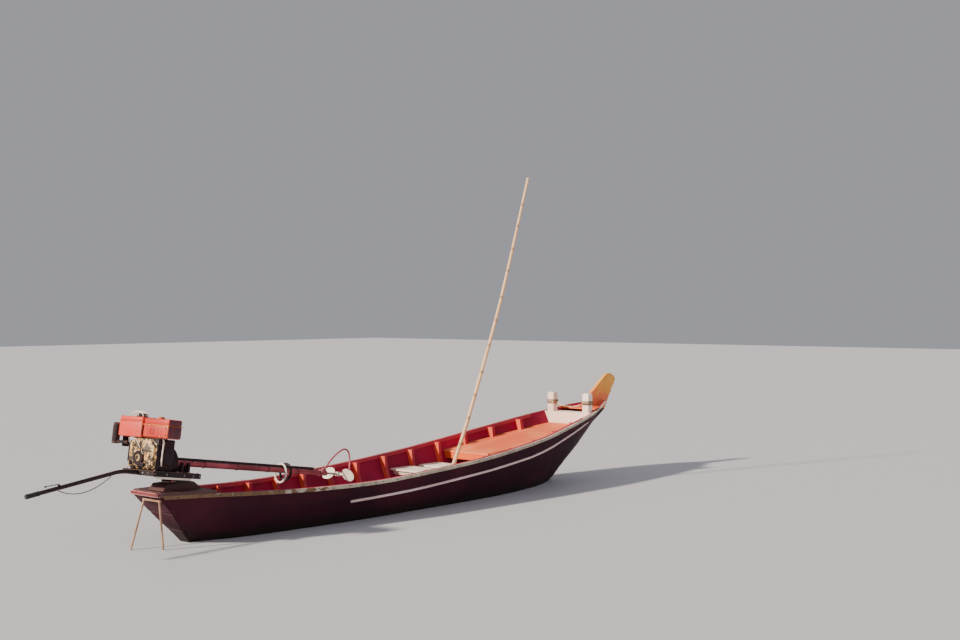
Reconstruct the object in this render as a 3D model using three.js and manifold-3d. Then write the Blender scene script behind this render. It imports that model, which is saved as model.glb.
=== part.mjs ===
// Wooden longtail boat afloat, with its engine and tail shaft turned inboard.
// Millimetres. +X is the bow, +Y is port, +Z is up. The origin is on the waterline, amidships.
import * as THREE from 'three';
import { mergeVertices } from 'three/addons/utils/BufferGeometryUtils.js';
import Module from 'manifold-3d';

const wasm = await Module();
wasm.setup();

// Fits
const GAP = 0.3;
const FAR = 3000;

// Hull: three master lines at shared stations. The fan of stations at each end is raked.
const LINE_COLUMNS = ['u', 'keelX', 'keelZ', 'chineX', 'chineY', 'chineZ', 'sheerX', 'sheerY', 'sheerZ'];
const LINES = [
  [-3850, -3355, -50, -3490, 84, 100, -3850, 200, 500],
  [-3400, -3139, -122, -3210, 156, 48, -3400, 292, 482],
  [-2900, -2900, -172, -2900, 235, 14, -2900, 372, 452],
  [-2200, -2200, -190, -2200, 325, 0, -2200, 475, 424],
  [-1400, -1400, -195, -1400, 400, 0, -1400, 600, 424],
  [-600, -600, -200, -600, 420, 0, -600, 640, 463],
  [200, 200, -200, 200, 436, 0, 200, 668, 516],
  [900, 900, -195, 900, 424, 8, 900, 662, 588],
  [1500, 1500, -172, 1500, 362, 32, 1500, 630, 662],
  [1900, 1900, -130, 1900, 280, 70, 1900, 566, 722],
  [2350, 2130, -68, 2230, 192, 125, 2350, 490, 790],
  [2800, 2215, -22, 2400, 122, 160, 2800, 384, 856],
  [3200, 2262, 8, 2505, 82, 188, 3200, 246, 922],
  [3550, 2290, 32, 2570, 54, 210, 3550, 54, 960],
];
const BACKBONE_HALF = 30;
const PLANK = 22;
const BOTTOM_PANELS = 3;
const SIDE_PANELS = 3;
const GIRTH = BOTTOM_PANELS + SIDE_PANELS;
const BOTTOM_BULGE = 0.07;
const SIDE_BULGE = 0.045;
const STATIONS = 28;
const STERN_U = LINES[0][0];
const BOW_U = LINES[LINES.length - 1][0];
const PLANK_BUTTS = [-1430, 900];

// Keel and stem, seen from the side: outer edge from stern to stem, then inner edge back
const BACKBONE_OUTER = [
  [-3520, 30], [-3340, -92], [-3150, -163], [-2900, -212], [-2200, -230], [-1400, -236],
  [200, -240], [900, -235], [1500, -212], [1900, -166], [2130, -100], [2320, 8],
  [2430, 90], [2580, 172], [2810, 345], [3040, 520], [3270, 665], [3585, 845],
];
const BACKBONE_INNER = [
  [3020, 780], [2960, 620], [2480, 240], [2180, 50], [2040, -65], [1900, -108],
  [1500, -151], [900, -174], [200, -179], [-600, -179], [-1400, -174], [-2200, -169],
  [-2900, -151], [-3150, -100], [-3450, 40],
];
const STEM_SCARF_X = 2100;
const STEMHEAD = [
  [3020, 780], [3585, 845], [3668, 950], [3752, 1080], [3770, 1120], [3832, 1180], [3858, 1246],
  [3825, 1292], [3742, 1326], [3640, 1322], [3450, 1196], [3268, 1070], [3120, 920],
];

// Transom: its plane runs up and aft from the keel's end
const TRANSOM_FOOT = [-3355, -50];
const TRANSOM_HEAD = [-3850, 500];
const TRANSOM_THICK = 30;
const TRANSOM_MARGIN = 4;
const CAP_TOP = 526;
const CAP_BOTTOM = 490;
const CAP_AFT = -3902;
const CAP_FORE = -3851;
const CAP_HALF = 206;

// Long timbers that follow the planking
const RAIL_DEEP = 36;
const RAIL_PROUD = 27;
const STRAKE_DEEP = 22;
const STRAKE_PROUD = 11;
const STRAKE_FIRST = 8;
const STRAKE_LAST = 25;
const STRAKE_HEIGHT = [
  [-1750, 232], [-1200, 252], [-800, 266], [-400, 294], [0, 326], [400, 356], [800, 396],
  [1200, 436], [1600, 500], [2000, 582], [2400, 668], [2700, 738],
];
const INWALE_DEEP = 42;
const INWALE_THICK = 18;
const INWALE_FIRST = 3;
const INWALE_LAST = 24;

// Frames: even spacing forward of one frame, and a closer one aft of it
const FRAME_START_X = -630;
const FRAME_STEP_FORE = 480;
const FRAME_STEP_AFT = 432;
const FRAMES_FORE = 7;
const FRAMES_AFT = 5;
const FRAME_WIDE = 45;
const FRAME_DEEP_FOOT = 30;
const FRAME_DEEP_HEAD = 88;
const FRAME_HEAD_DROP = 14;
const FLOOR_HALF = 300;
const FLOOR_RISE = 118;
const LAST_FLOOR_X = 1700;
const KEELSON_HALF = 45;
const KEELSON_TOP = -105;
const KEELSON_AFT = -2850;
const KEELSON_FORE = 1800;

// Decks and boards
const DECK = { aftX: 945, foreX: 2748, aftZ: 455, foreZ: 690, thick: 22 };
const BEAM = { x: 952, thick: 36, bottom: 357 };
const CROSS_BOARD = { aftX: 2749, foreX: 2935, bottom: 691, top: 846, thick: 24 };
const WELL_BOARD = { aftX: 2778, foreX: 2962, bottom: 700, top: 722 };
const BREASTHOOK = { aftX: 2985, foreX: 3290, bottom: 872, top: 898 };
const BOARD_TOP = 320;
const BOARD_THICK = 22;
const BEARER = { wide: 46, deep: 48, inset: 30 };
const MID_BOARDS = [
  ['mid_board_fore', 452, 784],
  ['mid_board_aft', -36, 300],
];
const BOLLARD = { x: 2805, y: 284, side: 96, top: 1100 };
const STERN_DECK_THICK = 30;
const STERN_DECK_LAST = 2;
const ENGINE_BED = { aftX: -3772, foreX: -3325, topAftX: -3722, topForeX: -3420, top: 582, half: 112 };

// Pole, with its step on the keelson
const POLE_PATH = [[204, -88], [444, 369], [602, 666], [803, 1088], [1219, 2031], [1490, 2732], [1893, 3880]];
const POLE_FOOT_R = 26;
const POLE_TIP_R = 18;
const STEP = { length: 190, half: 62, top: -48 };

// Stern pipe frame
const PIPE_R = 10;
const PIPE_BAR_X = -3864;
const PIPE_BAR_Z = 450;
const PIPE_LEGS = [
  [[PIPE_BAR_X, -185, PIPE_BAR_Z], [-3790, -176, -250]],
  [[PIPE_BAR_X, 48, PIPE_BAR_Z], [-4096, 42, -250]],
];
const PIPE_RUNG = 0.9;
const PIPE_BAR_PAST = 14;
const PIPE_LEG_SIDES = 14;
const PIPE_CLIP = { share: 0.4, half: 15, reach: 60, rise: 6 };

// Slack rope between the bollards
const ROPE_R = 8;
const ROPE_Z = 974;
const ROPE_SAG = 62;
const ROPE_STEPS = 16;

// Drive unit. Its own frame has the trunnion axis at the origin and the tail along +X.
const PIVOT = [-3630, 0, 614];
const YAW = THREE.MathUtils.degToRad(5);
const SLOPE = THREE.MathUtils.degToRad(8.7);
const PLATE_R = 64;
const YOKE = { discR: 58, bottom: 592.3, discTop: 599, cheekY: 66, cheekThick: 12, cheekR: 20 };
const PIN = { r: 10, bore: 10.6, proud: 8 };
const LUG_R = 14;
const FRAME_BAR = { y: 190, wide: 44, bottom: 24, top: 74, aft: -372, fore: 206 };
const FRAME_CROSS = [-352, -212, 0, 110, 186];
const FRAME_CROSS_HALF = 20;
const SHAFT_Z = 155;
const SHAFT_R = 11;
const BEARING_R = 11.6;
const TUBE = { aft: 80, fore: 2198, outer: 28, inner: 22, bearing: 40 };
const SADDLES = [100, 182];
const SADDLE = { long: 20, half: 60, rise: 12 };
const ENGINE = { aft: -310, fore: -115, starboard: -171, port: 190, bottom: 74.3, top: 366 };
const GEAR_COVER = { thick: 36, port: 196, bottom: 82, top: 360 };
const GEAR_BOSSES = [{ y: 100, z: 150, r: 46, proud: 52 }, { y: -40, z: 210, r: 34, proud: 46 }];
const HEAD = { aft: -280, fore: -155, port: 300, bottom: 120, top: 330 };
const HOPPER = { aft: -332, fore: -150, starboard: 63, port: 388, top: 556 };
const FILLER = { x: -240, y: 219, r: 36, top: 590 };
const TANK = { aft: -332, fore: -160, starboard: -300, port: 49, bottom: 372, top: 550 };
const TANK_FOOT = { inset: 30, starboard: -150, port: 20 };
const TANK_CAP = { x: -246, y: -90, r: 30, top: 572 };
const POTS = [
  { name: 'muffler', x: -300, y: 446, r: 36, bottom: 290, top: 490, stub: [-290, -250, 296, 326] },
  { name: 'air_cleaner', x: -190, y: 430, r: 36, bottom: 270, top: 385, stub: [-206, -174, 278, 308] },
];
const FLYWHEEL = { fore: -32, aft: -94, rim: 150, hub: 45, web: 18, rimThick: 28 };
const HUB = { aft: 2366, fore: 2464, radius: 24, taper: 30, nose: 8 };
const BLADE = { reach: 140, long: 84, wide: 74, thick: 5, pitch: 0.5, aftOfMiddle: 12, armR: 9 };
const STIFFENER = { aft: 40, fore: 1990, r: 13, clipLong: 28, clipWide: 24 };
const STIFFENER_CLIPS = [420, 860, 1300, 1740];
const GUARD_R = 10;
const GUARD_PATH = [
  [2174, 193], [2268, 308], [2398, 406], [2478, 432], [2538, 404], [2572, 318], [2583, 223],
];
const GUARD_FOOT = { aft: 2138, fore: 2188, half: 12, rise: 50 };
const RING_SIDES = 12;
const TAIL_RINGS = [
  { name: 'tail_ring_aft', x: 1500, inner: 85, bar: 10, wide: 0.8, tall: 1, finish: 'blade' },
  { name: 'tail_ring_fore', x: 1570, inner: 62, bar: 13, wide: 1, tall: 1.1, finish: 'dark' },
];
const TILLER_R = 19;
const TILLER_PATH = [[-372.3, 49], [-420, 49], [-582, 42], [-700, 12], [-1060, -86], [-1400, -178]];
const GRIP = { r: 23, length: 128 };
const CABLE_R = 4;
const CABLE_FROM = -668;
const CABLE_TO = -1205;
const CABLE_SAG = 78;

// Paints
const paint = (color, roughness = 0.6, metalness = 0) =>
  new THREE.MeshStandardMaterial({ color, roughness, metalness });
const PAINT = {
  hull: paint(0x35141c),
  rail: paint(0xb5a896),
  strake: paint(0xd9c6c2),
  red: paint(0xa81e2e),
  orange: paint(0xd2643a),
  deck: paint(0xd98560),
  cream: paint(0xeadcc6),
  head: paint(0xd9973b),
  bed: paint(0x2c2022),
  bamboo: paint(0xc9a27e),
  pipe: paint(0xa8866a, 0.7, 0.4),
  rope: paint(0xcbb8a0, 0.9),
  frame: paint(0x2a2426, 0.5, 0.6),
  tail: paint(0x9c3038, 0.5),
  salmon: paint(0xd85a48, 0.45),
  tank: paint(0xc03428, 0.45),
  block: paint(0x8f8468, 0.7, 0.3),
  dark: paint(0x262024, 0.7, 0.3),
  steel: paint(0x8a8784, 0.4, 0.9),
  blade: paint(0xd8cfc0, 0.5, 0.3),
  rubber: paint(0x201c1e, 0.9),
};

// Solids
function faceOut(geometry) {
  const at = geometry.attributes.position;
  const index = geometry.index.array;
  const [a, b, c] = [new THREE.Vector3(), new THREE.Vector3(), new THREE.Vector3()];
  let volume = 0;
  for (let i = 0; i < index.length; i += 3) {
    a.fromBufferAttribute(at, index[i]);
    b.fromBufferAttribute(at, index[i + 1]);
    c.fromBufferAttribute(at, index[i + 2]);
    volume += a.dot(b.cross(c));
  }
  if (volume < 0) {
    for (let i = 0; i < index.length; i += 3) [index[i], index[i + 1]] = [index[i + 1], index[i]];
  }
  return geometry;
}

function solid(geometry) {
  const bare = geometry.clone();
  bare.deleteAttribute('normal');
  bare.deleteAttribute('uv');
  const merged = faceOut(mergeVertices(bare, 1e-3));
  return new wasm.Manifold(new wasm.Mesh({
    numProp: 3,
    vertProperties: new Float32Array(merged.attributes.position.array),
    triVerts: new Uint32Array(merged.index.array),
  }));
}

function geometryOf(body) {
  const mesh = body.getMesh();
  const geometry = new THREE.BufferGeometry();
  geometry.setAttribute('position', new THREE.BufferAttribute(new Float32Array(mesh.vertProperties), 3));
  geometry.setIndex(new THREE.BufferAttribute(new Uint32Array(mesh.triVerts), 1));
  geometry.computeVertexNormals();
  return geometry;
}

const joined = (bodies) => bodies.reduce((sum, body) => sum.add(body));

// The largest piece that a cut leaves, without the slivers at its edges
const mainPiece = (body) => body.decompose()
  .reduce((most, piece) => (piece.volume() > most.volume() ? piece : most));

// A box of unit sides whose points are carried to their places by a function of (along, up, through)
function carried(along, up, through, place) {
  const geometry = new THREE.BoxGeometry(1, 1, 1, along, up, through);
  const at = geometry.attributes.position;
  for (let i = 0; i < at.count; i += 1) {
    at.setXYZ(i, ...place(at.getX(i) + 0.5, at.getY(i) + 0.5, at.getZ(i) + 0.5));
  }
  return solid(geometry);
}

// Extrudes an outline drawn in X and Z across the boat, from y0 to y1
function across(points, y0, y1) {
  const shape = new THREE.Shape(points.map(([x, z]) => new THREE.Vector2(x, z)));
  const geometry = new THREE.ExtrudeGeometry(shape, { depth: y1 - y0, bevelEnabled: false });
  geometry.rotateX(Math.PI / 2);
  geometry.translate(0, y1, 0);
  return solid(geometry);
}

function block(x0, x1, y0, y1, z0, z1) {
  const geometry = new THREE.BoxGeometry(x1 - x0, y1 - y0, z1 - z0);
  geometry.translate((x0 + x1) / 2, (y0 + y1) / 2, (z0 + z1) / 2);
  return solid(geometry);
}

function rod(from, to, r0, r1 = r0, sides = 12) {
  const [a, b] = [new THREE.Vector3(...from), new THREE.Vector3(...to)];
  const geometry = new THREE.CylinderGeometry(r1, r0, a.distanceTo(b), sides);
  geometry.applyQuaternion(new THREE.Quaternion().setFromUnitVectors(
    new THREE.Vector3(0, 1, 0),
    b.clone().sub(a).normalize(),
  ));
  const middle = a.clone().add(b).multiplyScalar(0.5);
  geometry.translate(middle.x, middle.y, middle.z);
  return solid(geometry);
}

const circle = (radius, sides) => new THREE.Shape(
  Array.from({ length: sides }, (_, i) => new THREE.Vector2(
    radius * Math.cos((2 * Math.PI * i) / sides),
    radius * Math.sin((2 * Math.PI * i) / sides),
  )),
);

function tube(points, radius, steps, sides = 10) {
  const knots = points.map((point) => new THREE.Vector3(...point));
  const extrudePath = new THREE.CatmullRomCurve3(knots, false, 'centripetal');
  return solid(new THREE.ExtrudeGeometry(circle(radius, sides), { steps, extrudePath, bevelEnabled: false }));
}

// A round pole along [x, z] points in the centre plane, thinner towards its tip
function tapered(points, footR, tipR, sides = 12, steps = 16) {
  const path = new THREE.CatmullRomCurve3(points.map(([x, z]) => new THREE.Vector3(x, 0, z)));
  const geometry = new THREE.CylinderGeometry(tipR, footR, 1, sides, steps);
  const at = geometry.attributes.position;
  for (let i = 0; i < at.count; i += 1) {
    const share = at.getY(i) + 0.5;
    const [centre, ahead, off] = [path.getPointAt(share), path.getTangentAt(share), at.getX(i)];
    at.setXYZ(i, centre.x + ahead.z * off, at.getZ(i), centre.z - ahead.x * off);
  }
  return solid(geometry);
}

// Turns a profile of [radius, x] about the X axis at height z
function turned(profile, z, sides = 24) {
  const geometry = new THREE.LatheGeometry(profile.map(([radius, x]) => new THREE.Vector2(radius, x)), sides);
  geometry.rotateZ(-Math.PI / 2);
  geometry.translate(0, 0, z);
  return solid(geometry);
}

// Hull surface
function smooth(rows, column, u) {
  const last = rows.length - 1;
  let i = rows.findIndex((row) => row[0] > u) - 1;
  if (i < 0) i = last - 1;
  const slope = (k) => {
    const [lo, hi] = [Math.max(k - 1, 0), Math.min(k + 1, last)];
    return (rows[hi][column] - rows[lo][column]) / (rows[hi][0] - rows[lo][0]);
  };
  const width = rows[i + 1][0] - rows[i][0];
  const t = (u - rows[i][0]) / width;
  const [p, q] = [rows[i][column], rows[i + 1][column]];
  const [m, n] = [slope(i) * width, slope(i + 1) * width];
  return (2 * t ** 3 - 3 * t ** 2 + 1) * p + (t ** 3 - 2 * t ** 2 + t) * m
    + (-2 * t ** 3 + 3 * t ** 2) * q + (t ** 3 - t ** 2) * n;
}

const stationU = (index) => STERN_U + ((BOW_U - STERN_U) * index) / STATIONS;

function panel(from, to, count, bulge) {
  const [dy, dz] = [to[1] - from[1], to[2] - from[2]];
  return Array.from({ length: count }, (_, i) => {
    const f = i / count;
    const swell = bulge * 4 * f * (1 - f);
    return [
      from[0] + (to[0] - from[0]) * f,
      from[1] + dy * f + dz * swell,
      from[2] + dz * f - dy * swell,
    ];
  });
}

// The section at a station: its points from keel to sheer, and the way inward at each
const sections = new Map();
function section(u) {
  if (!sections.has(u)) {
    const line = Object.fromEntries(LINE_COLUMNS.map((name, i) => [name, smooth(LINES, i, u)]));
    const keel = [line.keelX, BACKBONE_HALF + GAP, line.keelZ];
    const chine = [line.chineX, line.chineY, line.chineZ];
    const sheer = [line.sheerX, line.sheerY, line.sheerZ];
    const points = [
      ...panel(keel, chine, BOTTOM_PANELS, BOTTOM_BULGE),
      ...panel(chine, sheer, SIDE_PANELS, SIDE_BULGE),
      sheer,
    ];
    const normals = points.slice(1).map((point, i) => {
      const [dy, dz] = [point[1] - points[i][1], point[2] - points[i][2]];
      const length = Math.hypot(dy, dz);
      return [-dz / length, dy / length];
    });
    const inward = points.map((_, k) => {
      if (k === 0) return [0, 1 / Math.max(normals[0][1], 0.5)];
      if (k === GIRTH) return [1 / Math.min(normals[k - 1][0], -0.5), 0];
      const [a, b] = [normals[k - 1], normals[k]];
      const scale = 1 + a[0] * b[0] + a[1] * b[1];
      return [(a[0] + b[0]) / scale, (a[1] + b[1]) / scale];
    });
    sections.set(u, { points, inward });
  }
  return sections.get(u);
}

// A point of the port side: station u, girth from 0 at the keel to GIRTH at the sheer, depth inward
function hullPoint(u, girth, depth) {
  const { points, inward } = section(u);
  const low = Math.min(Math.floor(girth), GIRTH - 1);
  const f = girth - low;
  const corner = (k) => [
    points[k][0],
    Math.max(points[k][1] + inward[k][0] * depth, BACKBONE_HALF + GAP),
    points[k][2] + inward[k][1] * depth,
  ];
  const [a, b] = [corner(low), corner(low + 1)];
  return a.map((value, i) => value + (b[i] - value) * f);
}

const onSide = (side, [x, y, z]) => [x, side * y, z];

// Length round the girth of a station's topmost panel, about that of each side panel
const panelLength = (u) => {
  const { points } = section(u);
  return Math.hypot(points[GIRTH][1] - points[GIRTH - 1][1], points[GIRTH][2] - points[GIRTH - 1][2]);
};

// Planking between two girths, grown on its faces and its upper edge
function plankShell(side, grow, first = 0, last = GIRTH) {
  return carried(STATIONS, last - first, 1, (a, b, c) => {
    const u = stationU(Math.round(a * STATIONS));
    const row = first + Math.round(b * (last - first));
    const girth = row === last && last < GIRTH ? row + grow / panelLength(u) : row;
    const depth = (PLANK + 2 * grow) * c - grow;
    const at = new THREE.Vector3(...hullPoint(u, girth, depth));
    if (row === GIRTH) at.lerp(new THREE.Vector3(...hullPoint(u, row - 1, depth)), -grow / 20);
    return onSide(side, at.toArray());
  });
}

// The space inside the hull on one side, from a depth under the outer face to the centre plane
function insideHalf(side, depthAt) {
  return carried(STATIONS, GIRTH, 1, (a, b, c) => {
    const girth = Math.round(b * GIRTH);
    const [x, y, z] = hullPoint(stationU(Math.round(a * STATIONS)), girth, depthAt(girth));
    return c < 0.5 ? [x, side * y, z] : [x, -side, z];
  });
}

const inside = (depthAt) => insideHalf(1, depthAt).add(insideHalf(-1, depthAt));

// A timber along the planking, between two stations, with its girth limits given by a function
function timber(side, first, last, girthAt, outer, inner) {
  const count = last - first;
  return carried(count, 1, 1, (a, b, c) => {
    const u = stationU(first + Math.round(a * count));
    return onSide(side, hullPoint(u, girthAt(u, b), outer + (inner - outer) * c));
  });
}

// Transom plane
const [rise, run] = [TRANSOM_HEAD[1] - TRANSOM_FOOT[1], TRANSOM_HEAD[0] - TRANSOM_FOOT[0]];
const slant = Math.hypot(rise, run);
const upSlope = [run / slant, rise / slant];
const aftward = [-upSlope[1], upSlope[0]];

function aftOf(distance) {
  const point = (up, aft) => [
    TRANSOM_FOOT[0] + upSlope[0] * up + aftward[0] * aft,
    TRANSOM_FOOT[1] + upSlope[1] * up + aftward[1] * aft,
  ];
  return across([
    point(-FAR, distance), point(FAR, distance), point(FAR, distance + FAR), point(-FAR, distance + FAR),
  ], -FAR, FAR);
}

const behindTransom = aftOf(0);
const sides = [['port', 1], ['starboard', -1]];
const grownPlanks = joined(sides.map(([, side]) => plankShell(side, GAP)));
const withinPlanks = inside(() => PLANK / 2);

function backbone(grow) {
  const outline = [
    ...BACKBONE_OUTER,
    ...BACKBONE_INNER.map(([x, z]) => [x - grow, z + grow]),
  ];
  return across(outline, -BACKBONE_HALF - grow, BACKBONE_HALF + grow);
}

const stemheadSolid = (grow) => across(STEMHEAD, -BACKBONE_HALF - grow, BACKBONE_HALF + grow);
const grownBackbone = backbone(GAP);

// Model tree
const boat = new THREE.Group();
boat.name = 'longtail_boat';
const swivel = new THREE.Group();
swivel.position.set(PIVOT[0], PIVOT[1], 0);
swivel.rotation.z = YAW;
boat.add(swivel);
const drive = new THREE.Group();
drive.position.set(0, 0, PIVOT[2]);
drive.rotation.y = SLOPE;
swivel.add(drive);

function add(parent, name, body, material) {
  const mesh = new THREE.Mesh(geometryOf(body), material);
  mesh.name = name;
  parent.add(mesh);
  return mesh;
}

// Keel, stem and stemhead
function addBackbone() {
  const whole = backbone(0).subtract(behindTransom);
  add(boat, 'keel', whole.intersect(block(-FAR * 2, STEM_SCARF_X, -FAR, FAR, -FAR, FAR)), PAINT.hull);
  const stemZone = block(STEM_SCARF_X + GAP, FAR * 2, -FAR, FAR, -FAR, FAR);
  add(boat, 'stem_post', whole.intersect(stemZone), PAINT.hull);
  const head = stemheadSolid(0).translate([0, 0, GAP]);
  add(boat, 'stemhead', head, PAINT.head);
}

// Planking, rails, strakes, and inwales with their frames
const frameXs = [
  ...Array.from({ length: FRAMES_AFT }, (_, i) => FRAME_START_X - FRAME_STEP_AFT * (i + 1)),
  ...Array.from({ length: FRAMES_FORE }, (_, i) => FRAME_START_X + FRAME_STEP_FORE * i),
];

const fromSheer = (deep) => (u, b) => GIRTH - (deep * (1 - b)) / panelLength(u);

function heightOf(rows, x) {
  const i = Math.max(rows.findIndex((row) => row[0] > x), 1);
  const [[x0, z0], [x1, z1]] = [rows[i - 1], rows[i]];
  return z0 + ((z1 - z0) * (x - x0)) / (x1 - x0);
}

function girthAtStrake(u, b) {
  let [low, high] = [BOTTOM_PANELS, GIRTH];
  for (let i = 0; i < 30; i += 1) {
    const girth = (low + high) / 2;
    const [x, , z] = hullPoint(u, girth, 0);
    if (z < heightOf(STRAKE_HEIGHT, x) + STRAKE_DEEP * (b - 0.5)) low = girth;
    else high = girth;
  }
  return (low + high) / 2;
}

const frameDepth = (grow) => (girth) => {
  const f = Math.max(0, (girth - BOTTOM_PANELS) / SIDE_PANELS);
  return PLANK + FRAME_DEEP_FOOT + grow + (FRAME_DEEP_HEAD - FRAME_DEEP_FOOT) * f * f;
};

function frames(side, grow) {
  const half = FRAME_WIDE / 2 + grow;
  const [low, high] = [FLOOR_HALF + GAP - grow, FAR];
  const slabs = joined(frameXs.map((x) => block(
    x - half, x + half, side > 0 ? low : -high, side > 0 ? high : -low, -FAR, FAR,
  )));
  const room = insideHalf(side, () => PLANK * 0.4);
  const lowered = room.translate([0, 0, grow - FRAME_HEAD_DROP]);
  return slabs.intersect(room).intersect(lowered).subtract(insideHalf(side, frameDepth(grow)));
}

const grownFrames = joined(sides.map(([, side]) => frames(side, GAP)));

// The planks come in three lengths
const plankLengths = [
  ['aft', block(-2 * FAR, PLANK_BUTTS[0], -FAR, FAR, -FAR, FAR)],
  ['mid', block(PLANK_BUTTS[0] + GAP, PLANK_BUTTS[1], -FAR, FAR, -FAR, FAR)],
  ['fore', block(PLANK_BUTTS[1] + GAP, 2 * FAR, -FAR, FAR, -FAR, FAR)],
];

function addPlanks(name, whole) {
  for (const [part, zone] of plankLengths) {
    add(boat, name.replace('planks', `planks_${part}`), mainPiece(whole.intersect(zone)), PAINT.hull);
  }
}

function addSides() {
  for (const [name, side] of sides) {
    const bottom = plankShell(side, 0, 0, BOTTOM_PANELS);
    const joint = plankShell(side, GAP, 0, BOTTOM_PANELS);
    const jointRoom = joint.add(joint.translate([GAP, 0, 0]));
    const above = plankShell(side, 0, BOTTOM_PANELS, GIRTH).subtract(jointRoom);
    addPlanks(`bottom_planks_${name}`, bottom.subtract(behindTransom));
    addPlanks(`side_planks_${name}`, above.subtract(behindTransom));
    const rail = timber(side, 0, STATIONS, fromSheer(RAIL_DEEP), -RAIL_PROUD, PLANK / 3)
      .subtract(grownPlanks)
      .subtract(behindTransom);
    add(boat, `rub_rail_${name}`, rail, PAINT.rail);
    const strake = timber(side, STRAKE_FIRST, STRAKE_LAST, girthAtStrake, -STRAKE_PROUD, PLANK / 3);
    add(boat, `side_strake_${name}`, strake.subtract(grownPlanks), PAINT.strake);
    const inwale = timber(
      side, INWALE_FIRST, INWALE_LAST, fromSheer(INWALE_DEEP), PLANK / 2, PLANK + INWALE_THICK,
    );
    const ribbed = inwale.add(frames(side, 0)).subtract(grownPlanks);
    add(boat, `inwale_and_frames_${name}`, mainPiece(ribbed), PAINT.red);
  }
}

// Keelson with its floor timbers
function addKeelson() {
  const keelson = block(KEELSON_AFT, KEELSON_FORE, -KEELSON_HALF, KEELSON_HALF, -FAR, KEELSON_TOP);
  const floors = frameXs.filter((x) => x < LAST_FLOOR_X).map((x) => block(
    x - FRAME_WIDE / 2, x + FRAME_WIDE / 2, -FLOOR_HALF, FLOOR_HALF,
    -FAR, smooth(LINES, 2, x) + FLOOR_RISE,
  ));
  const body = joined([keelson, ...floors])
    .intersect(withinPlanks)
    .subtract(grownPlanks)
    .subtract(grownBackbone);
  add(boat, 'keelson_and_floors', body, PAINT.red);
}

// Transom and its cap
function addTransom() {
  const { points } = section(STERN_U);
  const top = (CAP_TOP - TRANSOM_FOOT[1]) / upSlope[1];
  const edge = points.map(([, y, z]) => [y + TRANSOM_MARGIN, (z - TRANSOM_FOOT[1]) / upSlope[1]]);
  edge[GIRTH][1] = top;
  const foot = [BACKBONE_HALF + TRANSOM_MARGIN, -40];
  const starboard = [...edge].reverse().map(([y, up]) => [-y, up]);
  const outline = [foot, ...edge, ...starboard, [-foot[0], foot[1]]];
  const shape = new THREE.Shape(outline.map(([y, up]) => new THREE.Vector2(y, up)));
  const geometry = new THREE.ExtrudeGeometry(shape, { depth: TRANSOM_THICK, bevelEnabled: false });
  geometry.translate(0, 0, GAP);
  geometry.applyMatrix4(new THREE.Matrix4().makeBasis(
    new THREE.Vector3(0, 1, 0),
    new THREE.Vector3(upSlope[0], 0, upSlope[1]),
    new THREE.Vector3(aftward[0], 0, aftward[1]),
  ));
  geometry.translate(TRANSOM_FOOT[0], 0, TRANSOM_FOOT[1]);
  const underCap = block(-2 * FAR, 0, -FAR, FAR, -FAR, CAP_BOTTOM - GAP);
  add(boat, 'transom_board', solid(geometry).intersect(underCap), PAINT.hull);
  add(boat, 'transom_cap', block(CAP_AFT, CAP_FORE, -CAP_HALF, CAP_HALF, CAP_BOTTOM, CAP_TOP), PAINT.red);
}

// Decks, boards and bollards
const fitted = (raw) => raw.intersect(withinPlanks).subtract(grownPlanks).subtract(grownFrames);

function addForedeck() {
  const { aftX, foreX, aftZ, foreZ, thick } = DECK;
  const outline = [[aftX, aftZ], [foreX, foreZ], [foreX, foreZ - thick], [aftX, aftZ - thick]];
  const deck = across(outline, -FAR, FAR);
  add(boat, 'foredeck', fitted(deck), PAINT.deck);
  const slope = (foreZ - aftZ) / (foreX - aftX);
  const under = (x) => aftZ - thick - GAP + slope * (x - aftX);
  const [x0, x1] = [BEAM.x, BEAM.x + BEAM.thick];
  const beam = across([[x0, BEAM.bottom], [x1, BEAM.bottom], [x1, under(x1)], [x0, under(x0)]], -FAR, FAR);
  add(boat, 'foredeck_beam', fitted(beam), PAINT.orange);
}

function addBow() {
  const cross = CROSS_BOARD;
  const face = across([
    [cross.aftX, cross.bottom], [cross.aftX + cross.thick, cross.bottom],
    [cross.aftX + cross.thick, cross.top - cross.thick], [cross.foreX, cross.top - cross.thick],
    [cross.foreX, cross.top], [cross.aftX, cross.top],
  ], -FAR, FAR);
  add(boat, 'bow_cross_board', fitted(face), PAINT.cream);
  const well = block(WELL_BOARD.aftX, WELL_BOARD.foreX, -FAR, FAR, WELL_BOARD.bottom, WELL_BOARD.top);
  add(boat, 'bow_well_board', fitted(well).subtract(grownBackbone), PAINT.red);
  const hook = block(BREASTHOOK.aftX, BREASTHOOK.foreX, -FAR, FAR, BREASTHOOK.bottom, BREASTHOOK.top);
  const headRoom = stemheadSolid(GAP).add(stemheadSolid(GAP).translate([-GAP, 0, GAP * 2]));
  add(boat, 'breasthook', fitted(hook).subtract(headRoom), PAINT.orange);
  const half = BOLLARD.side / 2;
  for (const [name, side] of sides) {
    const post = block(
      BOLLARD.x - half, BOLLARD.x + half, side * BOLLARD.y - half, side * BOLLARD.y + half,
      CROSS_BOARD.top + GAP, BOLLARD.top,
    );
    add(boat, `bollard_${name}`, post, PAINT.cream);
  }
}

function addMidBoards() {
  for (const [name, x0, x1] of MID_BOARDS) {
    const under = BOARD_TOP - BOARD_THICK;
    const bearer = (x) => block(x, x + BEARER.wide, -FAR, FAR, under - BEARER.deep, under);
    const raw = joined([
      block(x0, x1, -FAR, FAR, under, BOARD_TOP),
      bearer(x0 + BEARER.inset),
      bearer(x1 - BEARER.inset - BEARER.wide),
    ]);
    add(boat, name, fitted(raw), PAINT.cream);
  }
}

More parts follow.
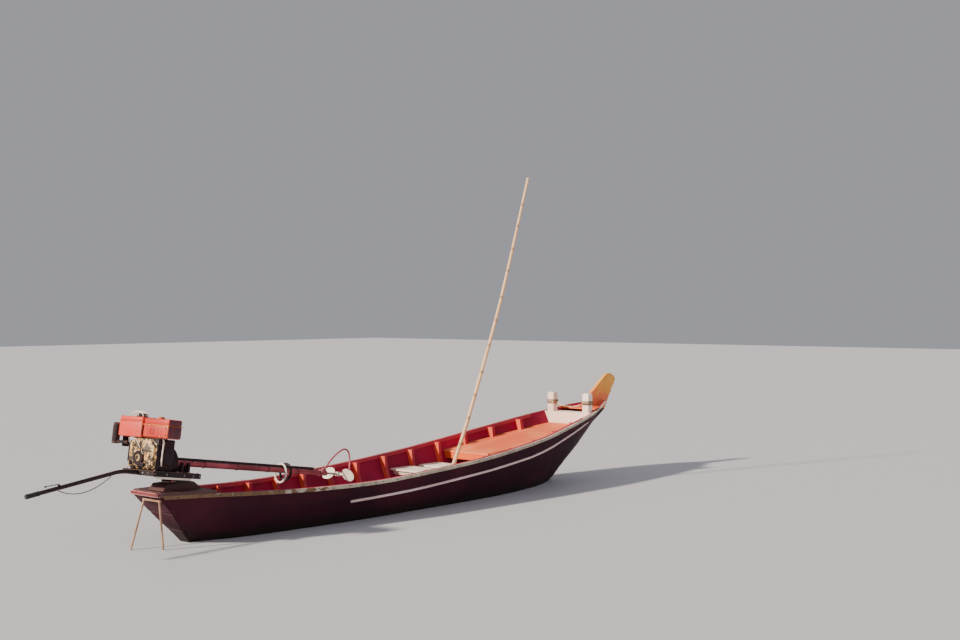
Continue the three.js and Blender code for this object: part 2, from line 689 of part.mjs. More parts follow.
// Stern deck on the sheer, and the engine bed on it
const sternDeckTop = (x) => {
  const edge = Array.from({ length: STERN_DECK_LAST + 2 }, (_, i) => {
    const [sheerX, , sheerZ] = hullPoint(stationU(i), GIRTH, 0);
    return [sheerX, sheerZ + GAP + STERN_DECK_THICK];
  });
  return heightOf(edge, x);
};

function addStern() {
  const deck = carried(STERN_DECK_LAST, 2, 1, (a, b, c) => {
    const [x, y, z] = hullPoint(stationU(Math.round(a * STERN_DECK_LAST)), GIRTH, -RAIL_PROUD);
    return [x, y * (2 * b - 1), z + GAP + STERN_DECK_THICK * c];
  });
  add(boat, 'stern_deck', deck, PAINT.bed);
  const bed = ENGINE_BED;
  const kneeX = hullPoint(stationU(1), GIRTH, 0)[0];
  const foot = [bed.aftX, kneeX, bed.foreX].map((x) => [x, sternDeckTop(x) + GAP]);
  const outline = [...foot, [bed.topForeX, bed.top], [bed.topAftX, bed.top]];
  add(boat, 'engine_bed', across(outline, -bed.half, bed.half), PAINT.bed);
  const plate = rod([PIVOT[0], 0, bed.top + GAP], [PIVOT[0], 0, YOKE.bottom - GAP], PLATE_R, PLATE_R, 24);
  add(boat, 'swivel_plate', plate, PAINT.frame);
}

// Pole and its step
function addPole() {
  add(boat, 'pole', tapered(POLE_PATH, POLE_FOOT_R, POLE_TIP_R), PAINT.bamboo);
  const footX = POLE_PATH[0][0];
  const step = block(
    footX - STEP.length / 2, footX + STEP.length / 2, -STEP.half, STEP.half, KEELSON_TOP + GAP, STEP.top,
  );
  const room = tapered(POLE_PATH, POLE_FOOT_R + GAP, POLE_TIP_R + GAP);
  add(boat, 'pole_step', step.subtract(room).subtract(room.translate([-GAP, 0, -GAP])), PAINT.red);
}

function addSternPipes() {
  const point = ([a, b], f) => a.map((value, i) => value + (b[i] - value) * f);
  const tops = PIPE_LEGS.map(([[, y]]) => y);
  const clips = tops.map((y) => block(
    PIPE_BAR_X, PIPE_BAR_X + PIPE_CLIP.reach,
    y * PIPE_CLIP.share - PIPE_CLIP.half, y * PIPE_CLIP.share + PIPE_CLIP.half,
    PIPE_BAR_Z - PIPE_CLIP.rise, PIPE_BAR_Z + PIPE_CLIP.rise,
  ).intersect(aftOf(TRANSOM_THICK + 2 * GAP)));
  const [barFrom, barTo] = [tops[0] - PIPE_BAR_PAST, tops[1] + PIPE_BAR_PAST];
  const frame = joined([
    ...PIPE_LEGS.map((leg) => rod(leg[0], leg[1], PIPE_R, PIPE_R, PIPE_LEG_SIDES)),
    rod([PIPE_BAR_X, barFrom, PIPE_BAR_Z], [PIPE_BAR_X, barTo, PIPE_BAR_Z], PIPE_R),
    rod(point(PIPE_LEGS[0], PIPE_RUNG), point(PIPE_LEGS[1], PIPE_RUNG), PIPE_R),
    ...clips,
  ]);
  add(boat, 'stern_pipe_frame', frame, PAINT.pipe);
}

function addRope() {
  const reach = BOLLARD.y - BOLLARD.side / 2 - ROPE_R / 2;
  const path = Array.from({ length: ROPE_STEPS + 1 }, (_, i) => {
    const f = (2 * i) / ROPE_STEPS - 1;
    return [BOLLARD.x, f * reach, ROPE_Z - ROPE_SAG * (1 - f * f)];
  });
  add(boat, 'slack_rope', tube(path, ROPE_R, 2 * ROPE_STEPS, 8), PAINT.rope);
}

// The room that the tail tube needs in what holds it
const tubeRoomR = TUBE.outer + GAP;
const tubeRoom = rod([TUBE.aft - 2 * GAP, 0, SHAFT_Z], [FAR, 0, SHAFT_Z], tubeRoomR, tubeRoomR, 24);

// Swivel yoke, whose two eyes hold the trunnion pin
function addYoke() {
  const { discR, bottom, discTop, cheekY, cheekThick, cheekR } = YOKE;
  const outerY = cheekY + cheekThick;
  const aboveDisc = block(-FAR, FAR, -FAR, FAR, bottom, FAR);
  const cheeks = sides.map(([, side]) => {
    const eye = rod([0, side * cheekY, PIVOT[2]], [0, side * outerY, PIVOT[2]], cheekR, cheekR, 24);
    return eye.intersect(aboveDisc);
  });
  const base = block(-cheekR, cheekR, -outerY, outerY, bottom, discTop);
  const bore = rod([0, -FAR, PIVOT[2]], [0, FAR, PIVOT[2]], PIN.bore, PIN.bore, 24);
  const body = joined([rod([0, 0, bottom], [0, 0, discTop], discR, discR, 24), base, ...cheeks]);
  add(swivel, 'swivel_yoke', body.subtract(bore), PAINT.tail);
}

function addEngineFrame() {
  const { y, wide, bottom, top, aft, fore } = FRAME_BAR;
  const bars = sides.map(([, side]) => block(
    aft, fore, side * y - wide / 2, side * y + wide / 2, bottom, top,
  ));
  const crosses = FRAME_CROSS.map((x) => block(
    x - FRAME_CROSS_HALF, x + FRAME_CROSS_HALF, -y, y, bottom, top,
  ));
  const lugHalf = YOKE.cheekY - 1;
  const pinHalf = YOKE.cheekY + YOKE.cheekThick + PIN.proud;
  const lug = rod([0, -lugHalf, 0], [0, lugHalf, 0], LUG_R, LUG_R, 20)
    .add(block(-LUG_R, LUG_R, -lugHalf, lugHalf, 0, (bottom + top) / 2));
  const pin = rod([0, -pinHalf, 0], [0, pinHalf, 0], PIN.r, PIN.r, 20);
  const saddles = SADDLES.map((x) => block(
    x, x + SADDLE.long, -SADDLE.half, SADDLE.half, bottom, SHAFT_Z + SADDLE.rise,
  ));
  const body = joined([...bars, ...crosses, lug, pin, ...saddles]).subtract(tubeRoom);
  add(drive, 'engine_frame', body, PAINT.frame);
}

function addEngine() {
  const e = ENGINE;
  add(drive, 'engine_block', block(e.aft, e.fore, e.starboard, e.port, e.bottom, e.top), PAINT.block);
  const cover = block(
    e.aft - GEAR_COVER.thick, e.aft - GAP, e.starboard, GEAR_COVER.port, GEAR_COVER.bottom, GEAR_COVER.top,
  );
  const bosses = GEAR_BOSSES.map(({ y, z, r, proud }) => rod(
    [e.aft - proud, y, z], [e.aft - GEAR_COVER.thick / 2, y, z], r, r, 20,
  ));
  add(drive, 'gear_case_cover', joined([cover, ...bosses]), PAINT.block);
  const head = block(HEAD.aft, HEAD.fore, e.port + GAP, HEAD.port, HEAD.bottom, HEAD.top);
  add(drive, 'cylinder_head', head, PAINT.dark);
  const { x: fillX, y: fillY, r: fillR } = FILLER;
  const filler = rod([fillX, fillY, e.top + 2 * GAP], [fillX, fillY, FILLER.top], fillR, fillR, 20);
  const hopper = block(HOPPER.aft, HOPPER.fore, HOPPER.starboard, HOPPER.port, e.top + GAP, HOPPER.top);
  add(drive, 'water_hopper', hopper.add(filler), PAINT.salmon);
  const tank = block(TANK.aft, TANK.fore, TANK.starboard, TANK.port, TANK.bottom, TANK.top);
  const tankFoot = block(
    TANK.aft + TANK_FOOT.inset, TANK.fore - TANK_FOOT.inset, TANK_FOOT.starboard, TANK_FOOT.port,
    e.top + GAP, (TANK.bottom + TANK.top) / 2,
  );
  const { x: capX, y: capY, r: capR } = TANK_CAP;
  const cap = rod([capX, capY, TANK.bottom + GAP], [capX, capY, TANK_CAP.top], capR, capR, 20);
  add(drive, 'fuel_tank', joined([tank, tankFoot, cap]), PAINT.tank);
  for (const { name, x, y, r, bottom, top, stub } of POTS) {
    const [aft, fore, low, high] = stub;
    const pipe = block(aft, fore, HEAD.port + GAP, y, low, high);
    add(drive, name, rod([x, y, bottom], [x, y, top], r, r, 16).add(pipe), PAINT.dark);
  }
}

function addTail() {
  const { aft, fore, outer, inner, bearing } = TUBE;
  const profile = [
    [BEARING_R, aft], [outer, aft], [outer, fore], [BEARING_R, fore], [BEARING_R, fore - bearing],
    [inner, fore - bearing], [inner, aft + bearing], [BEARING_R, aft + bearing], [BEARING_R, aft],
  ];
  add(drive, 'tail_tube', turned(profile, SHAFT_Z, 24), PAINT.tail);
  const pipe = STIFFENER;
  const pipeZ = SHAFT_Z + outer + GAP + pipe.r;
  const clips = STIFFENER_CLIPS.map((x) => block(
    x - pipe.clipLong / 2, x + pipe.clipLong / 2, -pipe.clipWide / 2, pipe.clipWide / 2, SHAFT_Z, pipeZ,
  ));
  const stiffener = rod([pipe.aft, 0, pipeZ], [pipe.fore, 0, pipeZ], pipe.r, pipe.r, 12);
  add(drive, 'stiffener_pipe', joined([stiffener, ...clips]).subtract(tubeRoom), PAINT.dark);
  const foot = block(
    GUARD_FOOT.aft, GUARD_FOOT.fore, -GUARD_FOOT.half, GUARD_FOOT.half, SHAFT_Z, SHAFT_Z + GUARD_FOOT.rise,
  );
  const hoop = tube(GUARD_PATH.map(([x, z]) => [x, 0, z]), GUARD_R, 28);
  add(drive, 'propeller_guard', hoop.add(foot).subtract(tubeRoom), PAINT.tail);
  const pipeTop = pipeZ + pipe.r + GAP;
  for (const { name, x, inner: hole, bar, wide, tall, finish } of TAIL_RINGS) {
    const barOutline = Array.from({ length: RING_SIDES + 1 }, (_, i) => {
      const turn = (2 * Math.PI * (i % RING_SIDES)) / RING_SIDES;
      return [hole + bar - bar * Math.cos(turn), x + bar * Math.sin(turn)];
    });
    const ring = turned(barOutline, 0, 32).scale([1, wide, tall]).translate([0, 0, pipeTop - hole * tall]);
    add(drive, name, ring, PAINT[finish]);
  }
}

function addShaftLine() {
  const { aft, fore, rim, hub, web, rimThick } = FLYWHEEL;
  const [rimIn, hubEnd] = [rim - rimThick, ENGINE.fore + GAP];
  const wheel = turned([
    [0, hubEnd], [hub, hubEnd], [hub, aft + web], [rimIn, aft + web], [rimIn, aft],
    [rim, aft], [rim, fore], [rimIn, fore], [rimIn, fore - web], [hub, fore - web], [hub, fore], [0, fore],
  ], SHAFT_Z, 32);
  add(drive, 'flywheel', wheel, PAINT.dark);
  const shaft = rod([fore + GAP, 0, SHAFT_Z], [HUB.aft - GAP, 0, SHAFT_Z], SHAFT_R, SHAFT_R, 16);
  add(drive, 'tail_shaft', shaft, PAINT.steel);
  const hubBody = turned([
    [0, HUB.aft], [HUB.radius, HUB.aft], [HUB.radius, HUB.fore - HUB.taper],
    [HUB.radius * 0.6, HUB.fore - HUB.nose], [0, HUB.fore],
  ], SHAFT_Z, 20);
  const bladeX = (HUB.aft + HUB.fore) / 2 - BLADE.aftOfMiddle;
  const blades = sides.map(([, side]) => {
    const geometry = new THREE.SphereGeometry(1, 20, 12);
    geometry.scale(BLADE.thick, BLADE.long, BLADE.wide);
    geometry.rotateY(side * BLADE.pitch);
    geometry.translate(bladeX, side * BLADE.reach, SHAFT_Z);
    return solid(geometry);
  });
  const { reach, armR } = BLADE;
  const arms = rod([bladeX, -reach, SHAFT_Z], [bladeX, reach, SHAFT_Z], armR, armR, 10);
  add(drive, 'propeller', joined([hubBody, arms, ...blades]), PAINT.blade);
}

function addTiller() {
  const bar = tube(TILLER_PATH.map(([x, z]) => [x, 0, z]), TILLER_R, 30, 12);
  add(drive, 'tiller', bar, PAINT.dark);
  const [[x0, z0], [x1, z1]] = TILLER_PATH.slice(-2);
  const length = Math.hypot(x1 - x0, z1 - z0);
  const ahead = (distance) => [
    x1 + ((x1 - x0) / length) * distance, 0, z1 + ((z1 - z0) / length) * distance,
  ];
  add(drive, 'tiller_grip', rod(ahead(GAP), ahead(GRIP.length), GRIP.r, GRIP.r, 12), PAINT.rubber);
  const under = (x) => heightOf([...TILLER_PATH].reverse(), x) - TILLER_R;
  const count = 20;
  const path = Array.from({ length: count + 1 }, (_, i) => {
    const f = i / count;
    const x = CABLE_FROM + (CABLE_TO - CABLE_FROM) * f;
    const end = under(CABLE_FROM) + (under(CABLE_TO) - under(CABLE_FROM)) * f;
    return [x, 0, end - CABLE_R - 2 * GAP - CABLE_SAG * 4 * f * (1 - f)];
  });
  add(drive, 'throttle_cable', tube(path, CABLE_R, 40, 8), PAINT.rubber);
}

addBackbone();
addSides();
addKeelson();
addTransom();
addForedeck();
addBow();
addMidBoards();
addStern();
addPole();
addSternPipes();
addRope();
addYoke();
addEngineFrame();
addEngine();
addTail();
addShaftLine();
addTiller();

export default boat;
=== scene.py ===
"""Looks of a wooden longtail boat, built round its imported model.

Metres. +X is the bow, +Y is port, +Z is up, and z = 0 is the waterline and the floor.
"""
import logging
import math
from dataclasses import dataclass
from enum import Enum
from typing import Any, Dict, List, Optional, Sequence, Tuple, Union

import bmesh
import bpy
from mathutils import Matrix, Vector, noise
from mathutils.bvhtree import BVHTree


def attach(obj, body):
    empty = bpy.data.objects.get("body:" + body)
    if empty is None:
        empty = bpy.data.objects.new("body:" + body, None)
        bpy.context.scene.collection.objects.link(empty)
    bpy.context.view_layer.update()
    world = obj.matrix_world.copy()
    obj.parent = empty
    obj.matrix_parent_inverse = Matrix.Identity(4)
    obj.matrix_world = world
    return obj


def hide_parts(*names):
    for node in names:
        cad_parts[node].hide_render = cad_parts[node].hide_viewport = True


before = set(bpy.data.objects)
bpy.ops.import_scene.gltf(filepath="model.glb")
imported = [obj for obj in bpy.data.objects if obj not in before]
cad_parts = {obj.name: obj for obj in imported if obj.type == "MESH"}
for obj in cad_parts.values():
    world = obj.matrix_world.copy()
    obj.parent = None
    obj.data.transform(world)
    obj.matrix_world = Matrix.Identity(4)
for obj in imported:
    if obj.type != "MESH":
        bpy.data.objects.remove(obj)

LOG = logging.getLogger("longtail")
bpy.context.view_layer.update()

Color = Tuple[float, float, float]
Point = Tuple[float, float, float]
Pair = Tuple[float, float]
Line = Tuple[Pair, ...]
Floats = Tuple[float, ...]
Corners = Tuple[Point, Point]
Path = Tuple[Point, ...]
Boxes = Tuple[Tuple[Point, Point, float, int], ...]
Grid = Tuple[Floats, Floats]
Solid = bmesh.types.BMesh

# The drive unit's own frame: trunnion axis at its origin, tail along +X
PIVOT = Vector((-3.630, 0.0, 0.614))
YAW = Matrix.Rotation(math.radians(5), 4, "Z")
SLOPE = Matrix.Rotation(math.radians(8.7), 4, "Y")
DRIVE_PLACE = Matrix.Translation(PIVOT) @ YAW @ SLOPE
SHAFT_Z = 0.155
GAP = 0.0003
FULL_TURN = 2 * math.pi
SIDES = (("port", 1), ("starboard", -1))
UP = (0, 0, 1)
FORE = (1, 0, 0)
AFT = (-1, 0, 0)


class Body(str, Enum):
    """The moving bodies a piece can ride on."""

    HULL = "hull"
    SWIVEL = "swivel_mount"
    DRIVE = "drive"
    SHAFT = "shaft_line"


PLACES = {
    Body.HULL: Matrix(),
    Body.SWIVEL: Matrix.Translation((PIVOT.x, PIVOT.y, 0)) @ YAW,
    Body.DRIVE: DRIVE_PLACE,
    Body.SHAFT: DRIVE_PLACE,
}


def linear(*parts: int) -> Color:
    """Turn a screen colour, its parts from 0 to 255, into a linear one."""
    return tuple(((c / 255 + 0.055) / 1.055) ** 2.4 if c > 10 else c / 255 / 12.92 for c in parts)


# Shader maths
class Wire:
    """A shader socket that takes part in arithmetic. Each operator adds one Math node."""

    def __init__(self, shader: "Shader", socket: bpy.types.NodeSocket) -> None:
        """Keep the socket and the shader it belongs to."""
        self.shader = shader
        self.socket = socket

    def _math(self, operation: str, *terms: Union["Wire", float]) -> "Wire":
        """Add one Math node."""
        return self.shader.node("ShaderNodeMath", {"operation": operation}, dict(enumerate(terms)))

    def __add__(self, other: Union["Wire", float]) -> "Wire":
        """Add."""
        return self._math("ADD", self, other)

    def __radd__(self, other: float) -> "Wire":
        """Add, reflected."""
        return self._math("ADD", other, self)

    def __sub__(self, other: Union["Wire", float]) -> "Wire":
        """Subtract."""
        return self._math("SUBTRACT", self, other)

    def __rsub__(self, other: float) -> "Wire":
        """Subtract, reflected."""
        return self._math("SUBTRACT", other, self)

    def __mul__(self, other: Union["Wire", float]) -> "Wire":
        """Multiply."""
        return self._math("MULTIPLY", self, other)

    def __rmul__(self, other: float) -> "Wire":
        """Multiply, reflected."""
        return self._math("MULTIPLY", other, self)

    def step(self, low: float, high: float) -> "Wire":
        """Rise smoothly from 0 at low to 1 at high."""
        band = {0: self, 1: low, 2: high, 3: 0.0, 4: 1.0}
        return self.shader.node("ShaderNodeMapRange", {"interpolation_type": "SMOOTHSTEP"}, band)


class Shader:
    """A material and its nodes."""

    def __init__(self, name: str) -> None:
        """Start a material with one Principled shader.

        Args:
            name: The material's name.
        """
        self.material = bpy.data.materials.new(name)
        self.material.use_nodes = True
        self.tree = self.material.node_tree
        self.surface = self.tree.nodes["Principled BSDF"]

    def node(self, kind: str, settings: Optional[Dict[str, Any]] = None,
             inputs: Optional[Dict[Union[int, str], Any]] = None, output: Union[int, str] = 0) -> Wire:
        """Add a node.

        Args:
            kind: The node's type.
            settings: Its properties, set first.
            inputs: Values or wires of its sockets.
            output: The socket to hand back.

        Returns:
            The wire of that output.
        """
        made = self.tree.nodes.new(kind)
        for key, value in (settings or {}).items():
            setattr(made, key, value)
        for key, value in (inputs or {}).items():
            self.feed(made.inputs[key], value)
        return Wire(self, made.outputs[output])

    def feed(self, socket: bpy.types.NodeSocket, value: Any) -> None:
        """Link a wire to a socket, or set the socket's own value.

        Args:
            socket: The socket.
            value: A wire, a number, a vector or a colour.
        """
        if isinstance(value, Wire):
            self.tree.links.new(value.socket, socket)
        elif isinstance(value, tuple) and socket.type == "RGBA":
            socket.default_value = (*value, 1.0)
        else:
            socket.default_value = value

    def surface_is(self, **sockets: Any) -> None:
        """Feed the Principled shader, with underscores for the spaces in its socket names."""
        for name, value in sockets.items():
            self.feed(self.surface.inputs[name.replace("_", " ")], value)

    def place(self, stretch: Point = (1, 1, 1)) -> Wire:
        """Object coordinates, scaled along each axis by stretch."""
        source = self.node("ShaderNodeTexCoord", output="Object")
        return self.node("ShaderNodeMapping", {"vector_type": "POINT"}, {0: source, 3: stretch})

    def axis(self, which: str, output: str = "Object") -> Wire:
        """One axis of the Object coordinates or of the object's Normal."""
        source = self.node("ShaderNodeTexCoord", output=output)
        return self.node("ShaderNodeSeparateXYZ", inputs={0: source}, output=which)

    def noise(self, vector: Wire, scale: float, detail: float = 4, rough: float = 0.55) -> Wire:
        """Noise from 0 to 1, about 0.5."""
        inputs = {"Vector": vector, "Scale": scale, "Detail": detail, "Roughness": rough}
        return self.node("ShaderNodeTexNoise", {}, inputs)

    def mix(self, factor: Union[Wire, float], first: Any, second: Any) -> Wire:
        """Mix two colours: a factor of 0 gives the first and 1 the second."""
        return self.node("ShaderNodeMix", {"data_type": "RGBA"}, {0: factor, 6: first, 7: second}, output=2)

    def facing(self, axis: str) -> Wire:
        """1 where the surface looks against an axis, 0 where it looks any other way."""
        return (0.0 - self.axis(axis, "Normal")).step(0.6, 0.9)

    def edges(self, radius: float, gain: float = 6.0) -> Wire:
        """1 on the piece's sharp edges, 0 on its flats.

        Args:
            radius: How far the edge reaches, in metres.
            gain: How fast it rises.

        Returns:
            The edge mask.
        """
        rounded = self.node("ShaderNodeBevel", {"samples": 4}, {"Radius": radius})
        flat = self.node("ShaderNodeNewGeometry", output="Normal")
        dot = self.node("ShaderNodeVectorMath", {"operation": "DOT_PRODUCT"}, {0: rounded, 1: flat}, "Value")
        return ((1.0 - dot) * gain).step(0.0, 1.0)

    def bump(self, height: Wire, distance: float) -> Wire:
        """A Normal from a height."""
        return self.node("ShaderNodeBump", {}, {"Height": height, "Distance": distance, "Strength": 1.0})


# Finishes
# Scales of the noises in old paint: broad fading, patches, brushed fibre and the runs down it
BROAD_SCALE = 1.3
PATCH_SCALE = 7.0
FIBRE_SCALE = 14.0
RUN_SCALE = 3.2
RUN_STRETCH = (6.0, 6.0, 0.6)


class Grain(Enum):
    """Which way a finish's grain runs: the stretch of its pattern."""

    ALONG_BOAT = (0.9, 9.0, 9.0)
    ACROSS_BOAT = (9.0, 0.9, 9.0)
    UPRIGHT = (9.0, 9.0, 0.9)
    NONE = (1.0, 1.0, 1.0)


RUST = linear(112, 60, 36)
OIL = (0.010, 0.008, 0.007)
WEED = (0.012, 0.014, 0.009)


@dataclass(frozen=True)
class Coat:
    """Old brushed paint on wood or metal: faded, dirtied, and worn through on edges and in patches, with
    painted sunlight on faces that look aft and painted shade on faces that look to starboard where those
    colours are given.
    """

    name: str
    color: Color
    shade: Color
    bare: Color
    grain: Grain = Grain.NONE
    worn: float = 0.25
    edge_wear: float = 0.5
    dirt: Color = (0.03, 0.02, 0.015)
    dirty: float = 0.3
    roughness: float = 0.6
    bare_roughness: float = 0.8
    bare_metallic: float = 0.0
    relief: float = 0.0012
    scale: float = 1.0
    edge_radius: float = 0.008
    waterline: bool = False
    inner: Optional[Color] = None
    inner_shade: Optional[Color] = None
    # aft: painted sunlight, the colour of faces that look aft
    aft: Optional[Color] = None
    end: Optional[Color] = None
    end_axis: str = "Z"
    end_at: float = 0.0
    end_ragged: float = 0.5
    # shadow_side: painted shade, the colour of faces that look to starboard
    shadow_side: Optional[Color] = None
    blots: float = 0.0
    specular: float = 0.5

    def build(self) -> bpy.types.Material:
        """Make the material.

        Returns:
            The material.
        """
        s = Shader(self.name)
        plain = s.place()
        broad = s.noise(plain, BROAD_SCALE * self.scale, 3).step(0.35, 0.65)
        patches = s.noise(plain, PATCH_SCALE * self.scale, 7, 0.62)
        fibre = s.noise(s.place(self.grain.value), FIBRE_SCALE * self.scale, 6, 0.6)
        runs = s.noise(s.place(RUN_STRETCH), RUN_SCALE * self.scale, 4)
        color = s.mix(broad, self.color, self.shade)
        color = s.mix(fibre.step(0.4, 0.75) * 0.35, color, self.shade)
        if self.inner is not None:
            lining = s.mix(broad, self.inner, self.inner_shade)
            color = s.mix(s.axis("Z", "Normal").step(-0.02, 0.02), color, lining)
        # Painted sunlight: faces that look aft take the lit aft colour.
        if self.aft is not None:
            color = s.mix(s.facing("X") * 0.85, color, self.aft)
        if self.end is not None:
            past = s.axis(self.end_axis) + (patches - 0.5) * self.end_ragged
            color = s.mix(past.step(self.end_at - 0.05, self.end_at + 0.05), self.end, color)
        clean = 0.3 * self.dirty
        soil = (patches * 0.6 + runs * 0.4).step(0.62 - clean, 0.85 - clean)
        color = s.mix(soil * (0.35 + 0.5 * self.dirty), color, self.dirt)
        kept = 0.80 - 0.34 * self.worn
        wear = patches * 0.45 + fibre * 0.55 + s.edges(self.edge_radius) * (0.35 * self.edge_wear)
        chips = wear.step(kept, kept + 0.06)
        color = s.mix(chips, color, self.bare)
        if self.waterline:
            height = s.axis("Z") + (patches - 0.5) * 0.12
            color = s.mix((1.0 - height.step(0.02, 0.16)) * 0.75, color, WEED)
        if self.blots > 0:
            spots = s.noise(plain, 5.0 * self.scale, 5, 0.7)
            edge = 0.56 - 0.1 * self.blots
            color = s.mix(spots.step(edge, edge + 0.03) * 0.94, color, OIL)
        # Painted shade: faces that look to starboard darken towards the shadow-side colour, varied by the
        # patches.
        if self.shadow_side is not None:
            color = s.mix(s.facing("Y") * (0.75 + patches * 0.35), color, self.shadow_side)
        rough = self.roughness + chips * (self.bare_roughness - self.roughness) + (patches - 0.5) * 0.25
        relief = s.bump(fibre * 0.5 + patches * 0.35 - chips * 0.5, self.relief)
        s.surface_is(Base_Color=color, Roughness=rough, Metallic=chips * self.bare_metallic,
                     Normal=relief, Specular_IOR_Level=self.specular)
        return s.material


@dataclass(frozen=True)
class Bamboo:
    """Cut bamboo: pale tan, darker round the joints, with fine lines along it."""

    name: str = "bamboo_cane"
    color: Color = linear(246, 200, 150)
    patch: Color = linear(214, 164, 122)
    dark: Color = linear(158, 112, 78)

    def build(self) -> bpy.types.Material:
        """Make the material.

        Returns:
            The material.
        """
        s = Shader(self.name)
        lines = s.noise(s.place((14.0, 14.0, 0.8)), 16.0, 5)
        patches = s.noise(s.place(), 5.0, 5)
        color = s.mix(lines.step(0.42, 0.68) * 0.5, self.color, self.dark)
        color = s.mix(patches.step(0.52, 0.7) * 0.6, color, self.patch)
        joint = s.node("ShaderNodeAttribute", {"attribute_name": "joint"}, output="Fac")
        color = s.mix(joint * 0.7, color, self.dark)
        s.surface_is(Base_Color=color, Roughness=0.42 + patches * 0.3, Normal=s.bump(lines, 0.0006))
        return s.material


@dataclass(frozen=True)
class Fibre:
    """Laid rope, rubber or caulk: one colour with soft dirt and fine hairs."""

    name: str
    color: Color
    dark: Color
    roughness: float = 0.9
    hair_scale: float = 240.0
    patch_scale: float = 9.0

    def build(self) -> bpy.types.Material:
        """Make the material.

        Returns:
            The material.
        """
        s = Shader(self.name)
        hairs = s.noise(s.place(), self.hair_scale, 4)
        patches = s.noise(s.place(), self.patch_scale, 4)
        color = s.mix(patches.step(0.38, 0.66), self.color, self.dark)
        color = s.mix(hairs.step(0.45, 0.7) * 0.4, color, self.dark)
        s.surface_is(Base_Color=color, Roughness=self.roughness - hairs * 0.1, Normal=s.bump(hairs, 0.0008))
        return s.material


@dataclass(frozen=True)
class BareMetal:
    """Oily metal with rust and handling marks."""

    name: str
    color: Color
    rust: Color = linear(110, 58, 32)
    rusty: float = 0.5
    roughness: float = 0.35

    def build(self) -> bpy.types.Material:
        """Make the material.

        Returns:
            The material.
        """
        s = Shader(self.name)
        patches = s.noise(s.place(), 14.0, 7, 0.65)
        fine = s.noise(s.place(), 60.0, 4)
        rust = (patches * 0.7 + fine * 0.3).step(0.68 - 0.3 * self.rusty, 0.78 - 0.3 * self.rusty)
        s.surface_is(Base_Color=s.mix(rust, self.color, self.rust), Metallic=0.95 - rust * 0.8,
                     Roughness=self.roughness + rust * 0.4 + fine * 0.12,
                     Normal=s.bump(fine * 0.5 + rust * 0.5, 0.0006))
        return s.material


